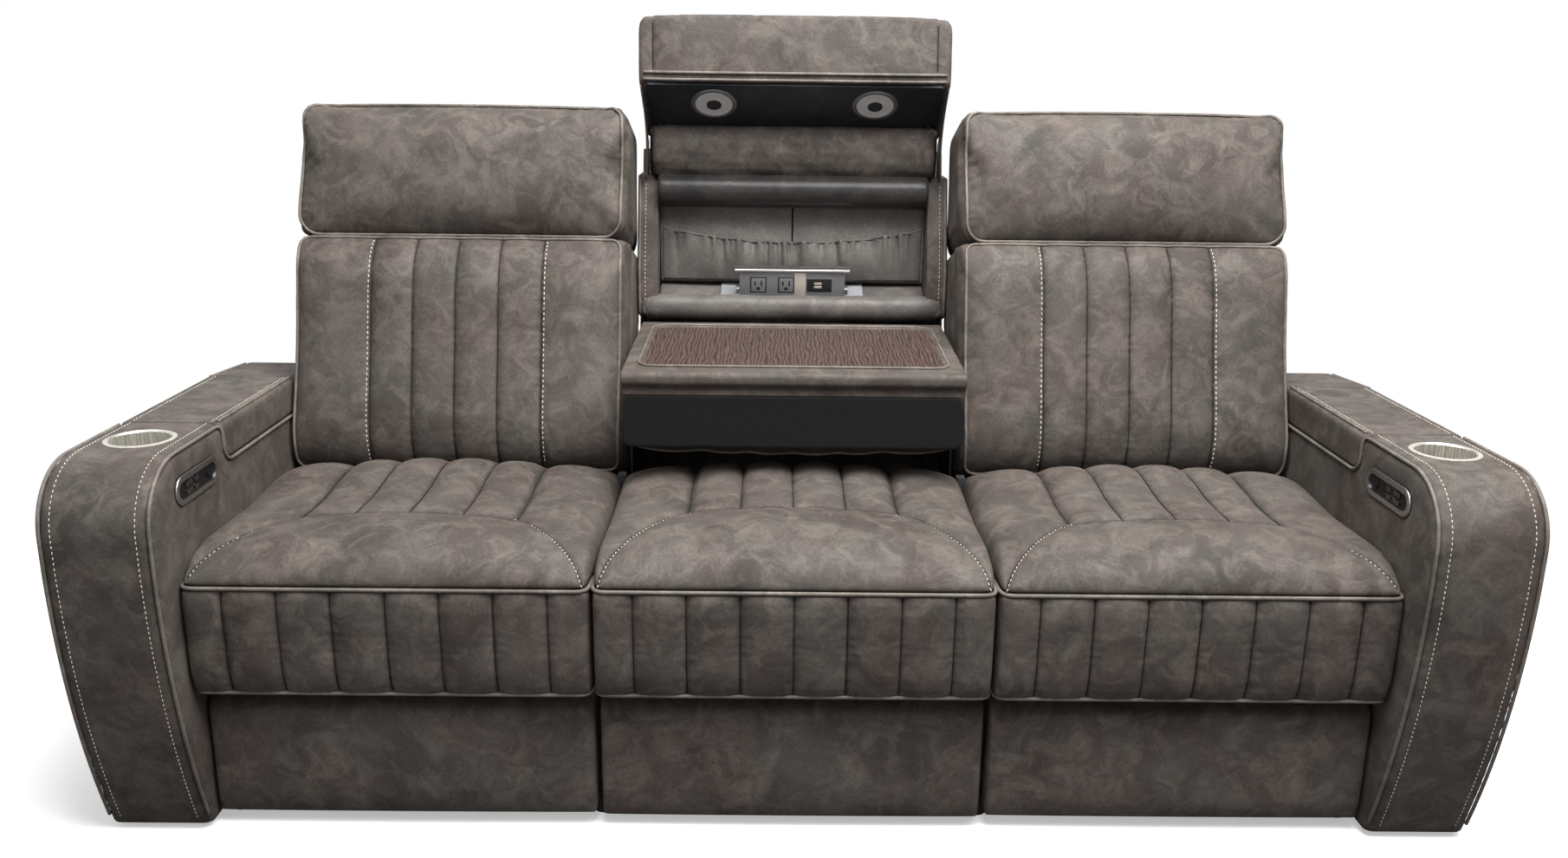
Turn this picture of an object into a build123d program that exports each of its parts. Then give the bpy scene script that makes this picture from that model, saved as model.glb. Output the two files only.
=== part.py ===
from build123d import *
import os
from math import atan2, cos, degrees, hypot, radians, sin, tan

# Three-seat power reclining sofa: two outer recliners and a middle seat whose back folds down
# into a console. Millimetres and degrees. The origin is the middle of the footprint on the
# floor, +X to the viewer's right, -Y towards the viewer, +Z up. Left and right are the viewer's.

# Overall layout
SEAT_PITCH = 625
ARM_WIDTH = 167.5
DEPTH = 990
SEAT_GAP = 3
WELT_SETBACK = 56
SEAT_DEPTH = 489
SEAT_HEIGHT = 507
BACK_TILT = 17.1
FIT = 0.3
# Planes that the rest is placed from: front and rear of the footprint, front of the seat, foot of the back
front_y = -DEPTH / 2
rear_y = DEPTH / 2
welt_y = front_y + WELT_SETBACK
back_y = welt_y + SEAT_DEPTH

# Arms
ARM_HEIGHT = 636
ARM_LENGTH = 794
ARM_CLEAR_OF_FLOOR = 10
ARM_FOOT_SETBACK = 91
ARM_NOSE_LOW = ARM_HEIGHT - 166
ARM_SHIN_BULGE = 20
ARM_TOP_ROUND = 104
ARM_REAR_DROP = 12
ARM_EDGE_ROUND = 16
LID_SETBACK = 276
LID_LENGTH = 339
LID_THICKNESS = 24
LID_FLAP = 64
LID_FLAP_THICKNESS = 18
LID_CORNER = 26
LID_GAP = 1.2
LID_EDGE_ROUND = 11
BIN_DEPTH = 110
BIN_WALL = 2.5
BIN_MARGIN = 26
BIN_CORNER = 13
CUP_SETBACK = 172
CUP_RADIUS = 45
CUP_DEPTH = 76
CUP_FLANGE = 53
CUP_WALL = 1.2
CUP_FLANGE_THICKNESS = 2.5

# Control panels on the inner faces of the arms
PANEL_SETBACK = 165
PANEL_HEIGHT = ARM_HEIGHT - 64
PANEL_LENGTH = 150
PANEL_WIDTH = 46
PANEL_RIM = 9
PANEL_PROUD = 3
PANEL_POCKET = 16
INSERT_RECESS = 2
ROCKER_LENGTH = 44
ROCKER_WIDTH = 8.4
ROCKER_PITCH = 13
ROCKER_THICKNESS = 4.5
ROCKER_OFFSET = 20
ROCKER_END_GAP = 0.6
ROCKER_WELL = 9
ROCKER_PAD = 14
ROCKER_PAD_RISE = 1.8
AXLE_RADIUS = 1.5
AXLE_STUB = 1.2
ROUND_PORT_RADIUS = 9
ROUND_PORT_OFFSET = 44

# Seats and front panels
WELT_HEIGHT = 434
DECK_TOP = 402
DECK_THICKNESS = 22
DECK_SIDE_MARGIN = 32
SEAT_EDGE_RISE = 46
SEAT_CROWN = 34
SEAT_REAR_GAP = 14
SEAT_SIDE_BOW = 8
CHANNEL_FRONT = 161
SEAT_CHANNEL_PITCH = 87.5
SEAM_DIP = 5
FRONT_PANEL_BOTTOM = 254
FRONT_PANEL_THICKNESS = 66
FRONT_PANEL_RAKE = 7
FRONT_CHANNEL_PITCH = 82.5

# Footrest panels and the fixed lower fascia
FASCIA_SETBACK = 47
FASCIA_BOTTOM = 32
FASCIA_HEIGHT = 214
FASCIA_THICKNESS = 46
FASCIA_CROWN = 7

# Footrest linkage, as pivots and angles in the side view
DRIVE_PIVOT = (welt_y + 379.6, 87.6)
DRIVE_LINK = 330
DRIVE_ANGLE = 129.94
PANEL_PIVOT = (welt_y + 139, 40)
LINK_WIDTH = 24
LINK_THICKNESS = 6
LINK_GAP = 1
PIN_RADIUS = 6
PIN_CLEARANCE = 0.05
TORQUE_TUBE_RADIUS = 12
JOURNAL_RADIUS = 8
SIDE_PLATE_THICKNESS = 5

# Timber frame
BOARD = 22
FRAME_EDGE = 1
FRAME_BOTTOM = 60
REAR_RAIL_SETBACK = 22
LEG_RADIUS = 17
GLIDE_RADIUS = 20

# Outer backs
LUMBAR_LENGTH = 408
LUMBAR_TAIL = 30
LUMBAR_THICKNESS = 100
LUMBAR_CROWN = 30
BACK_SEAM_PITCH = 79
BACK_THICKNESS = 225
BACK_FRAME_TAIL = 75
BACK_SIDE_BOW = 7
BACK_SIDE_GAP = 2
BACK_HINGE = (back_y + 90, 420)
BACK_WALL = 20
HINGE_RELIEF = 90
HEAD_LENGTH = 256
HEAD_CROWN = 34
HEAD_TOP_THICKNESS = 175

# Drop-down console (as it lies, open)
CONSOLE_PIVOT = (back_y + 104, 631)
CONSOLE_FACE = 568
CONSOLE_FREE_END = back_y - 159
CONSOLE_TAIL = back_y + 253
CONSOLE_HALF_WIDTH = 298.5
CONSOLE_PAD = 92
CONSOLE_LIP_TOP = 702
CONSOLE_TAIL_TOP = 718
CONSOLE_LIP_HEIGHT = 25
CONSOLE_LIP_PROUD = 10
WOOD_WIDTH = 530
WOOD_LENGTH = 306
WOOD_FRONT_MARGIN = 47
WOOD_CORNER = 22
WOOD_THICKNESS = 5
WOOD_BEAD = 5
CONSOLE_PIN_RADIUS = 8
HINGE_PLATE = 4.2
HINGE_RING = 24

# Middle back: recess, ledge and power module
CHEEK_THICKNESS = 31
CHEEK_SETBACK = 156
CHEEK_TOP = 1000
MIDDLE_WALL = 18
REAR_COVER_TOP = 1045
LINER_SETBACK = back_y + 334
LINER_THICKNESS = 6
LINER_TOP = 945
LEDGE_FRONT = back_y + 248
LEDGE_BOTTOM = 727
LEDGE_NOSE = 18
LEDGE_SLOPE = 23
LEDGE_THICKNESS = 22
POST_DEPTH = 18
MODULE_WIDTH = 212
MODULE_FACE = 61
MODULE_DEPTH = 14
MODULE_OFFSET = 39
MODULE_SLOT_GAP = 1
MODULE_LID_WIDTH = 232
MODULE_LID_THICKNESS = 5
MODULE_LID_OVERHANG = 2
MODULE_PLATE_WIDTH = 288
MODULE_PLATE_FRONT = 28
MODULE_PLATE_THICKNESS = 3
MODULE_GUIDE_WIDTH = 7
MODULE_GUIDE_HEIGHT = 22
ROLL_RADIUS = 33
ROLL_CENTRE = (back_y + 304, 971)
BAND_THICKNESS = 12
BAND_TOP = (back_y + 338, 1050)
BAND_FOOT = (back_y + 292, 992)
POUCH_TOP = 857
POUCH_BULGE = 16
POUCH_CLOTH = 3
POUCH_FOLDS = 10
POUCH_RAISE = 8

# Flip-up headrest (as it stands, flipped)
FLIP_ANGLE = 110
FLIP_PIVOT = (back_y + 312, 1073)
FLIP_START = 421.6
FLIP_LENGTH = 250
FLIP_THICKNESS = 110
FLIP_BEVEL = 56
FLIP_HALF_WIDTH = 296
FLIP_CROWN = 28
LIGHT_SPACING = 310
LIGHT_RADIUS = 44
LIGHT_PLATE = 5
LIGHT_MARGIN = 14
LIGHT_RISE = 4
LIGHT_BUTTON_RADIUS = 14
LIGHT_BUTTON_PROUD = 1
LIGHT_BUTTON_TRAVEL = 1.5
FLIP_PIN_RADIUS = 5
FLIP_EYE_RADIUS = 14
FLIP_LUG_THICKNESS = 6
FLIP_LUG_HALF_LENGTH = 28
FLIP_POST_THICKNESS = 8

# Worked out from the above
SEAT_CENTRES = {"left": -SEAT_PITCH, "mid": 0, "right": SEAT_PITCH}
SIDES = {"left": -1, "right": 1}
half_seat = (SEAT_PITCH - SEAT_GAP) / 2
half_back = half_seat - BACK_SIDE_GAP
arm_inner = SEAT_PITCH * 1.5
arm_middle = arm_inner + ARM_WIDTH / 2
panel_back_y = welt_y + FRONT_PANEL_THICKNESS
fascia_y = welt_y + FASCIA_SETBACK
fascia_back_y = fascia_y + FASCIA_THICKNESS
arm_rear_y = front_y + ARM_LENGTH
rear_rail_y = arm_rear_y - REAR_RAIL_SETBACK
frame_top = DECK_TOP - DECK_THICKNESS
tilt_sin = sin(radians(BACK_TILT))
tilt_cos = cos(radians(BACK_TILT))

os.makedirs("parts", exist_ok=True)


def finish(piece, name):
    """Labels a finished piece and writes it."""
    piece.part.label = name
    export_step(piece.part, f"parts/{name}.step")


def on_back(up, rearwards):
    """Side-view point (y, z) at a distance up the back slope and behind its face."""
    y = back_y + up * tilt_sin + rearwards * tilt_cos
    z = SEAT_HEIGHT + up * tilt_cos - rearwards * tilt_sin
    return (y, z)


def behind_back(z, rearwards):
    """Side-view y at a height on the plane a distance behind the back's face."""
    return back_y + (z - SEAT_HEIGHT) * tan(radians(BACK_TILT)) + rearwards / tilt_cos


def side_view(x):
    """Plane of a side view at x: local X is rearwards, local Y is up."""
    return Plane.YZ.offset(x)


def across_back(centre_x, up):
    """Plane square to the back slope: local X across the sofa, local Y rearwards."""
    slope = Plane(
        origin=(centre_x, back_y, SEAT_HEIGHT),
        x_dir=(1, 0, 0),
        z_dir=(0, tilt_sin, tilt_cos),
    )
    return slope.offset(up)


def pad_section(half_width, back, edge, crown, seams, fullness, bow, dip=0):
    """One section of a pad: flat back, bowed sides, and a crowned face with an arc per channel.

    The face is towards local -Y. Crown is the rise from the sides to the middle. Fullness is the
    rise of each arc over its width. Dip sinks the seams below the crown.
    """
    stops = [-half_width + bow] + seams + [half_width - bow]
    face = [(x, edge - crown * (1 - (x / half_width) ** 2)) for x in stops]
    face = [face[0]] + [(x, y + dip) for x, y in face[1:-1]] + [face[-1]]
    middle = (edge + back) / 2
    with BuildSketch(Plane.XY) as section:
        with BuildLine():
            for start, end in zip(face, face[1:]):
                width = end[0] - start[0]
                rise = fullness * width + crown * (width / 2 / half_width) ** 2
                ThreePointArc(start, ((start[0] + end[0]) / 2, (start[1] + end[1]) / 2 - rise), end)
            ThreePointArc(face[-1], (half_width, middle), (half_width - bow, back))
            Line((half_width - bow, back), (-half_width + bow, back))
            ThreePointArc((-half_width + bow, back), (-half_width, middle), face[0])
        make_face()
    return section.sketch


def outline(*points):
    """Closed straight-sided outline through the points."""
    with BuildSketch(Plane.XY) as section:
        with BuildLine():
            Polyline(*points, close=True)
        make_face()
    return section.sketch


def seam_lines(pitch, count):
    """Places of evenly spaced seams, symmetric about the middle."""
    return [pitch * (i - (count - 1) / 2) for i in range(count)]


def strap(start, end, width):
    """Flat strap between two pivots with round ends."""
    angle = degrees(atan2(end[1] - start[1], end[0] - start[0]))
    with Locations(((start[0] + end[0]) / 2, (start[1] + end[1]) / 2)):
        SlotCenterToCenter(hypot(end[0] - start[0], end[1] - start[1]), width, rotation=angle)


def disc(point, radius, mode=Mode.ADD):
    """Round boss or, subtracted, a round hole at a point of the sketch."""
    with Locations(point):
        Circle(radius, mode=mode)


# --- Timber base frame, decks and feet

with BuildPart() as base_frame:
    for centre in SEAT_CENTRES.values():
        for side in (-1, 1):
            with BuildSketch(side_view(centre + side * half_seat)):
                add(
                    outline(
                        (panel_back_y, frame_top),
                        (panel_back_y, FRONT_PANEL_BOTTOM),
                        (fascia_back_y + LINK_GAP, FRONT_PANEL_BOTTOM),
                        (fascia_back_y + LINK_GAP, FRAME_BOTTOM),
                        (rear_rail_y, FRAME_BOTTOM),
                        (rear_rail_y, frame_top),
                    )
                )
            extrude(amount=-side * BOARD)
        with BuildSketch(Plane.XY.offset(FRONT_PANEL_BOTTOM + BOARD)):
            with Locations((centre, panel_back_y + BOARD / 2)):
                Rectangle(2 * half_seat, BOARD)
        extrude(amount=frame_top - FRONT_PANEL_BOTTOM - BOARD)
    with BuildSketch(Plane.XY.offset(FRAME_BOTTOM)):
        with Locations((0, rear_rail_y + BOARD / 2)):
            Rectangle(2 * arm_inner, BOARD)
    extrude(amount=frame_top - FRAME_BOTTOM)
    with BuildSketch(Plane.XY.offset(FRAME_BOTTOM)):
        with Locations((0, fascia_back_y + BOARD / 2)):
            Rectangle(2 * (half_seat - BOARD), BOARD)
    extrude(amount=FRONT_PANEL_BOTTOM - FRAME_BOTTOM - 2 * BOARD)
finish(base_frame, "base_frame")

with BuildPart() as seat_decks:
    for name, centre in SEAT_CENTRES.items():
        deck_rear = rear_rail_y - BOARD / 2 if name == "mid" else BACK_HINGE[0] - 2 * BOARD
        deck_half = half_seat if name == "mid" else half_seat - DECK_SIDE_MARGIN
        length = deck_rear - panel_back_y
        with BuildSketch(Plane.XY.offset(frame_top)):
            with Locations((centre, panel_back_y + length / 2)):
                Rectangle(2 * deck_half, length)
        extrude(amount=DECK_THICKNESS)
finish(seat_decks, "seat_decks")

with BuildPart() as feet:
    leg_x = arm_inner - LEG_RADIUS - FRAME_EDGE
    leg_rows = (fascia_back_y + LEG_RADIUS + 2, rear_rail_y - LEG_RADIUS)
    glide_rows = (front_y + ARM_FOOT_SETBACK + 2 * GLIDE_RADIUS, arm_rear_y - 2 * GLIDE_RADIUS)
    for x in (-leg_x, -SEAT_PITCH / 2, SEAT_PITCH / 2, leg_x):
        for row in leg_rows:
            with BuildSketch(Plane.XY):
                disc((x, row), LEG_RADIUS)
            extrude(amount=FRAME_BOTTOM)
    for side in SIDES.values():
        for row in glide_rows:
            with BuildSketch(Plane.XY):
                disc((side * arm_middle, row), GLIDE_RADIUS)
            extrude(amount=ARM_CLEAR_OF_FLOOR)
finish(feet, "feet")

# --- Arms, their lids, bins, cup holders and control panels

lid_front_y = front_y + LID_SETBACK
lid_rear_y = lid_front_y + LID_LENGTH
lid_bottom = ARM_HEIGHT - LID_THICKNESS
flap_bottom = ARM_HEIGHT - LID_FLAP
cup_y = front_y + CUP_SETBACK
panel_y = front_y + PANEL_SETBACK
bin_middle_y = (lid_front_y + lid_rear_y) / 2
bin_length = LID_LENGTH - 2 * BIN_MARGIN
bin_width = ARM_WIDTH - 2 * BIN_MARGIN
bin_floor = lid_bottom - BIN_DEPTH
port_place = (panel_y + ROUND_PORT_OFFSET, PANEL_HEIGHT)
rocker_y = panel_y - ROCKER_OFFSET
rocker_heights = (PANEL_HEIGHT + ROCKER_PITCH / 2, PANEL_HEIGHT - ROCKER_PITCH / 2)


def arm_profile():
    """Side view of an arm: raked waterfall front, rounded nose, level top, slight rear drop."""
    foot = (front_y + ARM_FOOT_SETBACK, ARM_CLEAR_OF_FLOOR)
    nose_low = (front_y, ARM_NOSE_LOW)
    nose_high = (front_y, ARM_HEIGHT - ARM_TOP_ROUND)
    crest = (front_y + ARM_TOP_ROUND, ARM_HEIGHT)
    shin = ((foot[0] + nose_low[0]) / 2 - ARM_SHIN_BULGE, (foot[1] + nose_low[1]) / 2)
    with BuildSketch(Plane.XY) as section:
        with BuildLine():
            ThreePointArc(foot, shin, nose_low)
            Line(nose_low, nose_high)
            TangentArc(nose_high, crest, tangent=(0, 1))
            Line(crest, (lid_rear_y, ARM_HEIGHT))
            Line((lid_rear_y, ARM_HEIGHT), (arm_rear_y, ARM_HEIGHT - ARM_REAR_DROP))
            Line((arm_rear_y, ARM_HEIGHT - ARM_REAR_DROP), (arm_rear_y, ARM_CLEAR_OF_FLOOR))
            Line((arm_rear_y, ARM_CLEAR_OF_FLOOR), foot)
        make_face()
    return section.sketch


def stadium(length, width, mode=Mode.ADD):
    """Control panel outline, centred on the panel in a side view."""
    with Locations((panel_y, PANEL_HEIGHT)):
        SlotOverall(length, width, mode=mode)


for name, side in SIDES.items():
    inner = side * arm_inner
    outer = inner + side * ARM_WIDTH
    middle = side * arm_middle

    with BuildPart() as arm:
        with BuildSketch(side_view(inner)):
            add(arm_profile())
        extrude(amount=side * ARM_WIDTH)
        soft = arm.edges().filter_by(lambda e: abs(abs(e.center().X) - arm_middle) > ARM_WIDTH / 2 - 1)
        soft = soft.filter_by(lambda e: e.center().Z > ARM_CLEAR_OF_FLOOR + 1 and e.center().Y < arm_rear_y - 1)
        fillet(soft, radius=ARM_EDGE_ROUND)
        with BuildSketch(Plane.XY.offset(lid_bottom)):
            with Locations((middle, bin_middle_y)):
                Rectangle(ARM_WIDTH + 2, LID_LENGTH)
        extrude(amount=2 * LID_THICKNESS, mode=Mode.SUBTRACT)
        with BuildSketch(side_view(inner)):
            with BuildLine():
                FilletPolyline(
                    (lid_front_y, lid_bottom + 2),
                    (lid_front_y, flap_bottom),
                    (lid_rear_y, flap_bottom),
                    (lid_rear_y, lid_bottom + 2),
                    radius=LID_CORNER,
                )
                Line((lid_rear_y, lid_bottom + 2), (lid_front_y, lid_bottom + 2))
            make_face()
        extrude(amount=side * (LID_FLAP_THICKNESS + LID_GAP), mode=Mode.SUBTRACT)
        with BuildSketch(Plane.XY.offset(bin_floor)):
            with Locations((middle, bin_middle_y)):
                RectangleRounded(bin_width, bin_length, BIN_CORNER)
        extrude(amount=BIN_DEPTH, mode=Mode.SUBTRACT)
        with BuildSketch(Plane.XY.offset(ARM_HEIGHT - CUP_DEPTH)):
            disc((middle, cup_y), CUP_RADIUS + CUP_WALL)
        extrude(amount=CUP_DEPTH, mode=Mode.SUBTRACT)
        with BuildSketch(side_view(inner)):
            stadium(PANEL_LENGTH - PANEL_RIM, PANEL_WIDTH - PANEL_RIM)
        extrude(amount=side * PANEL_POCKET, mode=Mode.SUBTRACT)
    finish(arm, f"{name}_arm")

    with BuildPart() as arm_lid:
        with BuildSketch(Plane.XZ.offset(-lid_rear_y + LID_GAP)):
            add(
                outline(
                    (inner, flap_bottom + LID_GAP),
                    (inner + side * LID_FLAP_THICKNESS, flap_bottom + LID_GAP),
                    (inner + side * LID_FLAP_THICKNESS, lid_bottom + FIT),
                    (outer, lid_bottom + FIT),
                    (outer, ARM_HEIGHT),
                    (inner, ARM_HEIGHT),
                )
            )
        extrude(amount=LID_LENGTH - 2 * LID_GAP)
        fillet(arm_lid.edges().filter_by(Axis.Y).group_by(Axis.Z)[-1], radius=LID_EDGE_ROUND)
        fillet(arm_lid.edges().filter_by(Axis.X).group_by(Axis.Z)[0], radius=LID_CORNER - LID_GAP)
    finish(arm_lid, f"{name}_arm_lid")

    with BuildPart() as storage_bin:
        with BuildSketch(Plane.XY.offset(bin_floor)):
            with Locations((middle, bin_middle_y)):
                RectangleRounded(bin_width - 2 * FIT, bin_length - 2 * FIT, BIN_CORNER)
        extrude(amount=BIN_DEPTH)
        with BuildSketch(Plane.XY.offset(bin_floor + BIN_WALL)):
            with Locations((middle, bin_middle_y)):
                inside = 2 * (BIN_WALL + FIT)
                RectangleRounded(bin_width - inside, bin_length - inside, BIN_CORNER - BIN_WALL)
        extrude(amount=BIN_DEPTH, mode=Mode.SUBTRACT)
    finish(storage_bin, f"{name}_storage_bin")

    with BuildPart() as cup_holder:
        cup_floor = ARM_HEIGHT - CUP_DEPTH
        cup_outside = CUP_RADIUS + CUP_WALL - FIT
        with BuildSketch(Plane.XZ.offset(-cup_y)):
            with Locations((middle, 0)):
                add(
                    outline(
                        (0, cup_floor),
                        (cup_outside, cup_floor),
                        (cup_outside, ARM_HEIGHT),
                        (CUP_FLANGE, ARM_HEIGHT),
                        (CUP_FLANGE, ARM_HEIGHT + CUP_FLANGE_THICKNESS / 2),
                        (CUP_FLANGE - 3, ARM_HEIGHT + CUP_FLANGE_THICKNESS),
                        (CUP_RADIUS + 2, ARM_HEIGHT + CUP_FLANGE_THICKNESS),
                        (CUP_RADIUS, ARM_HEIGHT),
                        (CUP_RADIUS, cup_floor + CUP_WALL),
                        (0, cup_floor + CUP_WALL),
                    )
                )
        revolve(axis=Axis((middle, cup_y, 0), (0, 0, 1)))
    finish(cup_holder, f"{name}_cup_holder")

    with BuildPart() as control_bezel:
        with BuildSketch(side_view(inner - side * PANEL_PROUD)):
            stadium(PANEL_LENGTH, PANEL_WIDTH)
        extrude(amount=side * PANEL_PROUD)
        rim = control_bezel.faces().sort_by(Axis.X)[0 if side > 0 else -1].edges()
        fillet(rim, radius=PANEL_PROUD * 0.6)
        with BuildSketch(side_view(inner)):
            stadium(PANEL_LENGTH - PANEL_RIM - 2 * FIT, PANEL_WIDTH - PANEL_RIM - 2 * FIT)
        extrude(amount=side * PANEL_POCKET)
        with BuildSketch(side_view(inner - side * PANEL_PROUD)):
            stadium(PANEL_LENGTH - 2 * PANEL_RIM, PANEL_WIDTH - 2 * PANEL_RIM)
        extrude(amount=side * 2 * PANEL_POCKET, mode=Mode.SUBTRACT)
    finish(control_bezel, f"{name}_control_bezel")

    insert_x = inner - side * (PANEL_PROUD - INSERT_RECESS)
    rocker_x = insert_x + side * ROCKER_THICKNESS / 2
    axle_length = ROCKER_WIDTH + 2 * AXLE_STUB

    with BuildPart() as control_insert:
        with BuildSketch(side_view(insert_x)):
            stadium(PANEL_LENGTH - 2 * PANEL_RIM, PANEL_WIDTH - 2 * PANEL_RIM)
        extrude(amount=side * (PANEL_POCKET + PANEL_PROUD - INSERT_RECESS))
        with BuildSketch(side_view(insert_x)):
            for height in rocker_heights:
                with Locations((rocker_y, height)):
                    Rectangle(ROCKER_LENGTH + 2 * ROCKER_END_GAP, ROCKER_WIDTH + FIT)
        extrude(amount=side * ROCKER_WELL, mode=Mode.SUBTRACT)
        for height in rocker_heights:
            with BuildSketch(Plane.XY.offset(height - axle_length / 2 - PIN_CLEARANCE)):
                disc((rocker_x, rocker_y), AXLE_RADIUS + PIN_CLEARANCE)
            extrude(amount=axle_length + 2 * PIN_CLEARANCE, mode=Mode.SUBTRACT)
        with BuildSketch(side_view(insert_x)):
            disc(port_place, ROUND_PORT_RADIUS)
        extrude(amount=-side * INSERT_RECESS)
    finish(control_insert, f"{name}_control_insert")

    for height, rocker_name in zip(rocker_heights, ("recline_rocker", "headrest_rocker")):
        with BuildPart() as rocker:
            with BuildSketch(side_view(insert_x)):
                with Locations((rocker_y, height)):
                    Rectangle(ROCKER_LENGTH, ROCKER_WIDTH)
            extrude(amount=side * ROCKER_THICKNESS)
            with BuildSketch(side_view(insert_x)):
                pad_shift = (ROCKER_LENGTH - ROCKER_PAD) / 2
                with Locations((rocker_y - pad_shift, height), (rocker_y + pad_shift, height)):
                    RectangleRounded(ROCKER_PAD, ROCKER_WIDTH, 2)
            extrude(amount=-side * ROCKER_PAD_RISE)
            with BuildSketch(Plane.XY.offset(height - axle_length / 2)):
                disc((rocker_x, rocker_y), AXLE_RADIUS)
            extrude(amount=axle_length)
        finish(rocker, f"{name}_{rocker_name}")

# --- Seat cushions and front panels

seat_rear_y = back_y - SEAT_REAR_GAP
edge_high = WELT_HEIGHT + SEAT_EDGE_RISE
channel_front_y = welt_y + CHANNEL_FRONT
channel_seams = seam_lines(SEAT_CHANNEL_PITCH, 5)

for name, centre in SEAT_CENTRES.items():
    with BuildPart() as seat_cushion:
        for y, edge, crown, fullness, dip in (
            (welt_y, WELT_HEIGHT + 4, 3, 0, 0),
            (welt_y + 50, edge_high - 8, 24, 0, 0),
            (channel_front_y, edge_high, SEAT_CROWN, 0.01, SEAM_DIP),
            ((channel_front_y + seat_rear_y) / 2, edge_high, SEAT_CROWN, 0.08, SEAM_DIP),
            (seat_rear_y, edge_high - 6, SEAT_CROWN - 8, 0.04, SEAM_DIP),
        ):
            with BuildSketch(Plane(origin=(centre, y, SEAT_HEIGHT), x_dir=(1, 0, 0), z_dir=(0, 1, 0))):
                add(
                    pad_section(
                        half_seat,
                        SEAT_HEIGHT - DECK_TOP,
                        SEAT_HEIGHT - edge,
                        crown,
                        channel_seams,
                        fullness,
                        SEAT_SIDE_BOW,
                        dip,
                    )
                )
        loft()
        with BuildSketch(Plane.XY.offset(DECK_TOP - 1)):
            with Locations((centre, panel_back_y - FRONT_PANEL_THICKNESS)):
                Rectangle(2 * half_seat + 2, 2 * FRONT_PANEL_THICKNESS)
        extrude(amount=WELT_HEIGHT - DECK_TOP + 1, mode=Mode.SUBTRACT)
    finish(seat_cushion, f"{name}_seat_cushion")

    with BuildPart() as front_panel:
        span = WELT_HEIGHT - FRONT_PANEL_BOTTOM
        for share, edge, fullness in ((0, 9, 0.02), (0.1, 1, 0.05), (0.5, -2, 0.07), (0.9, 0, 0.05), (1, 4, 0.03)):
            rake = FRONT_PANEL_RAKE * (1 - share)
            level = FRONT_PANEL_BOTTOM + share * span
            with BuildSketch(Plane(origin=(centre, welt_y + rake, level), x_dir=(1, 0, 0), z_dir=(0, 0, 1))):
                add(
                    pad_section(
                        half_seat,
                        FRONT_PANEL_THICKNESS - rake,
                        edge,
                        0,
                        seam_lines(FRONT_CHANNEL_PITCH, 7),
                        fullness,
                        SEAT_SIDE_BOW / 2,
                    )
                )
        loft()
    finish(front_panel, f"{name}_front_panel")

# --- Recliner mechanisms of the outer seats


def along_link(start, length, angle):
    """Side-view point at a length and angle from another."""
    return (start[0] + length * cos(radians(angle)), start[1] + length * sin(radians(angle)))


knee = along_link(DRIVE_PIVOT, DRIVE_LINK, DRIVE_ANGLE)
plate_outer = half_seat - BOARD
plate_inner = plate_outer - SIDE_PLATE_THICKNESS
drive_outer = plate_inner - LINK_GAP
drive_inner = drive_outer - LINK_THICKNESS
front_outer = drive_inner - LINK_GAP
front_inner = front_outer - LINK_THICKNESS
bracket_outer = front_inner - LINK_GAP
bracket_inner = bracket_outer - LINK_THICKNESS

# Footrest panels of the outer seats, and the fixed fascia of the same look under the middle seat
FASCIA_NAMES = {"left": "left_footrest", "mid": "mid_lower_fascia", "right": "right_footrest"}
for name, centre in SEAT_CENTRES.items():
    with BuildPart() as fascia:
        for share, edge, crown in ((0, 8, 1), (0.1, 1, 4), (0.5, 0, FASCIA_CROWN), (0.9, 1, 4), (1, 8, 1)):
            level = FASCIA_BOTTOM + share * FASCIA_HEIGHT
            with BuildSketch(Plane(origin=(centre, fascia_y, level), x_dir=(1, 0, 0), z_dir=(0, 0, 1))):
                add(pad_section(half_back, FASCIA_THICKNESS, edge, crown, [], 0, SEAT_SIDE_BOW / 2))
        loft()
        if name != "mid":
            for side in (-1, 1):
                with BuildSketch(side_view(centre + side * bracket_inner)):
                    strap((fascia_back_y + LINK_WIDTH / 2, PANEL_PIVOT[1]), PANEL_PIVOT, LINK_WIDTH)
                    add(
                        outline(
                            (fascia_back_y, PANEL_PIVOT[1] - LINK_WIDTH / 2),
                            (fascia_back_y + LINK_WIDTH, PANEL_PIVOT[1] - LINK_WIDTH / 2),
                            (fascia_back_y + LINK_WIDTH, PANEL_PIVOT[1] + LINK_WIDTH / 2),
                            (fascia_back_y, PANEL_PIVOT[1] + 4 * LINK_WIDTH),
                        )
                    )
                extrude(amount=side * LINK_THICKNESS)
                with BuildSketch(side_view(centre + side * bracket_inner)):
                    disc(PANEL_PIVOT, PIN_RADIUS)
                extrude(amount=side * (front_outer - bracket_inner))
    finish(fascia, FASCIA_NAMES[name])

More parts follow.
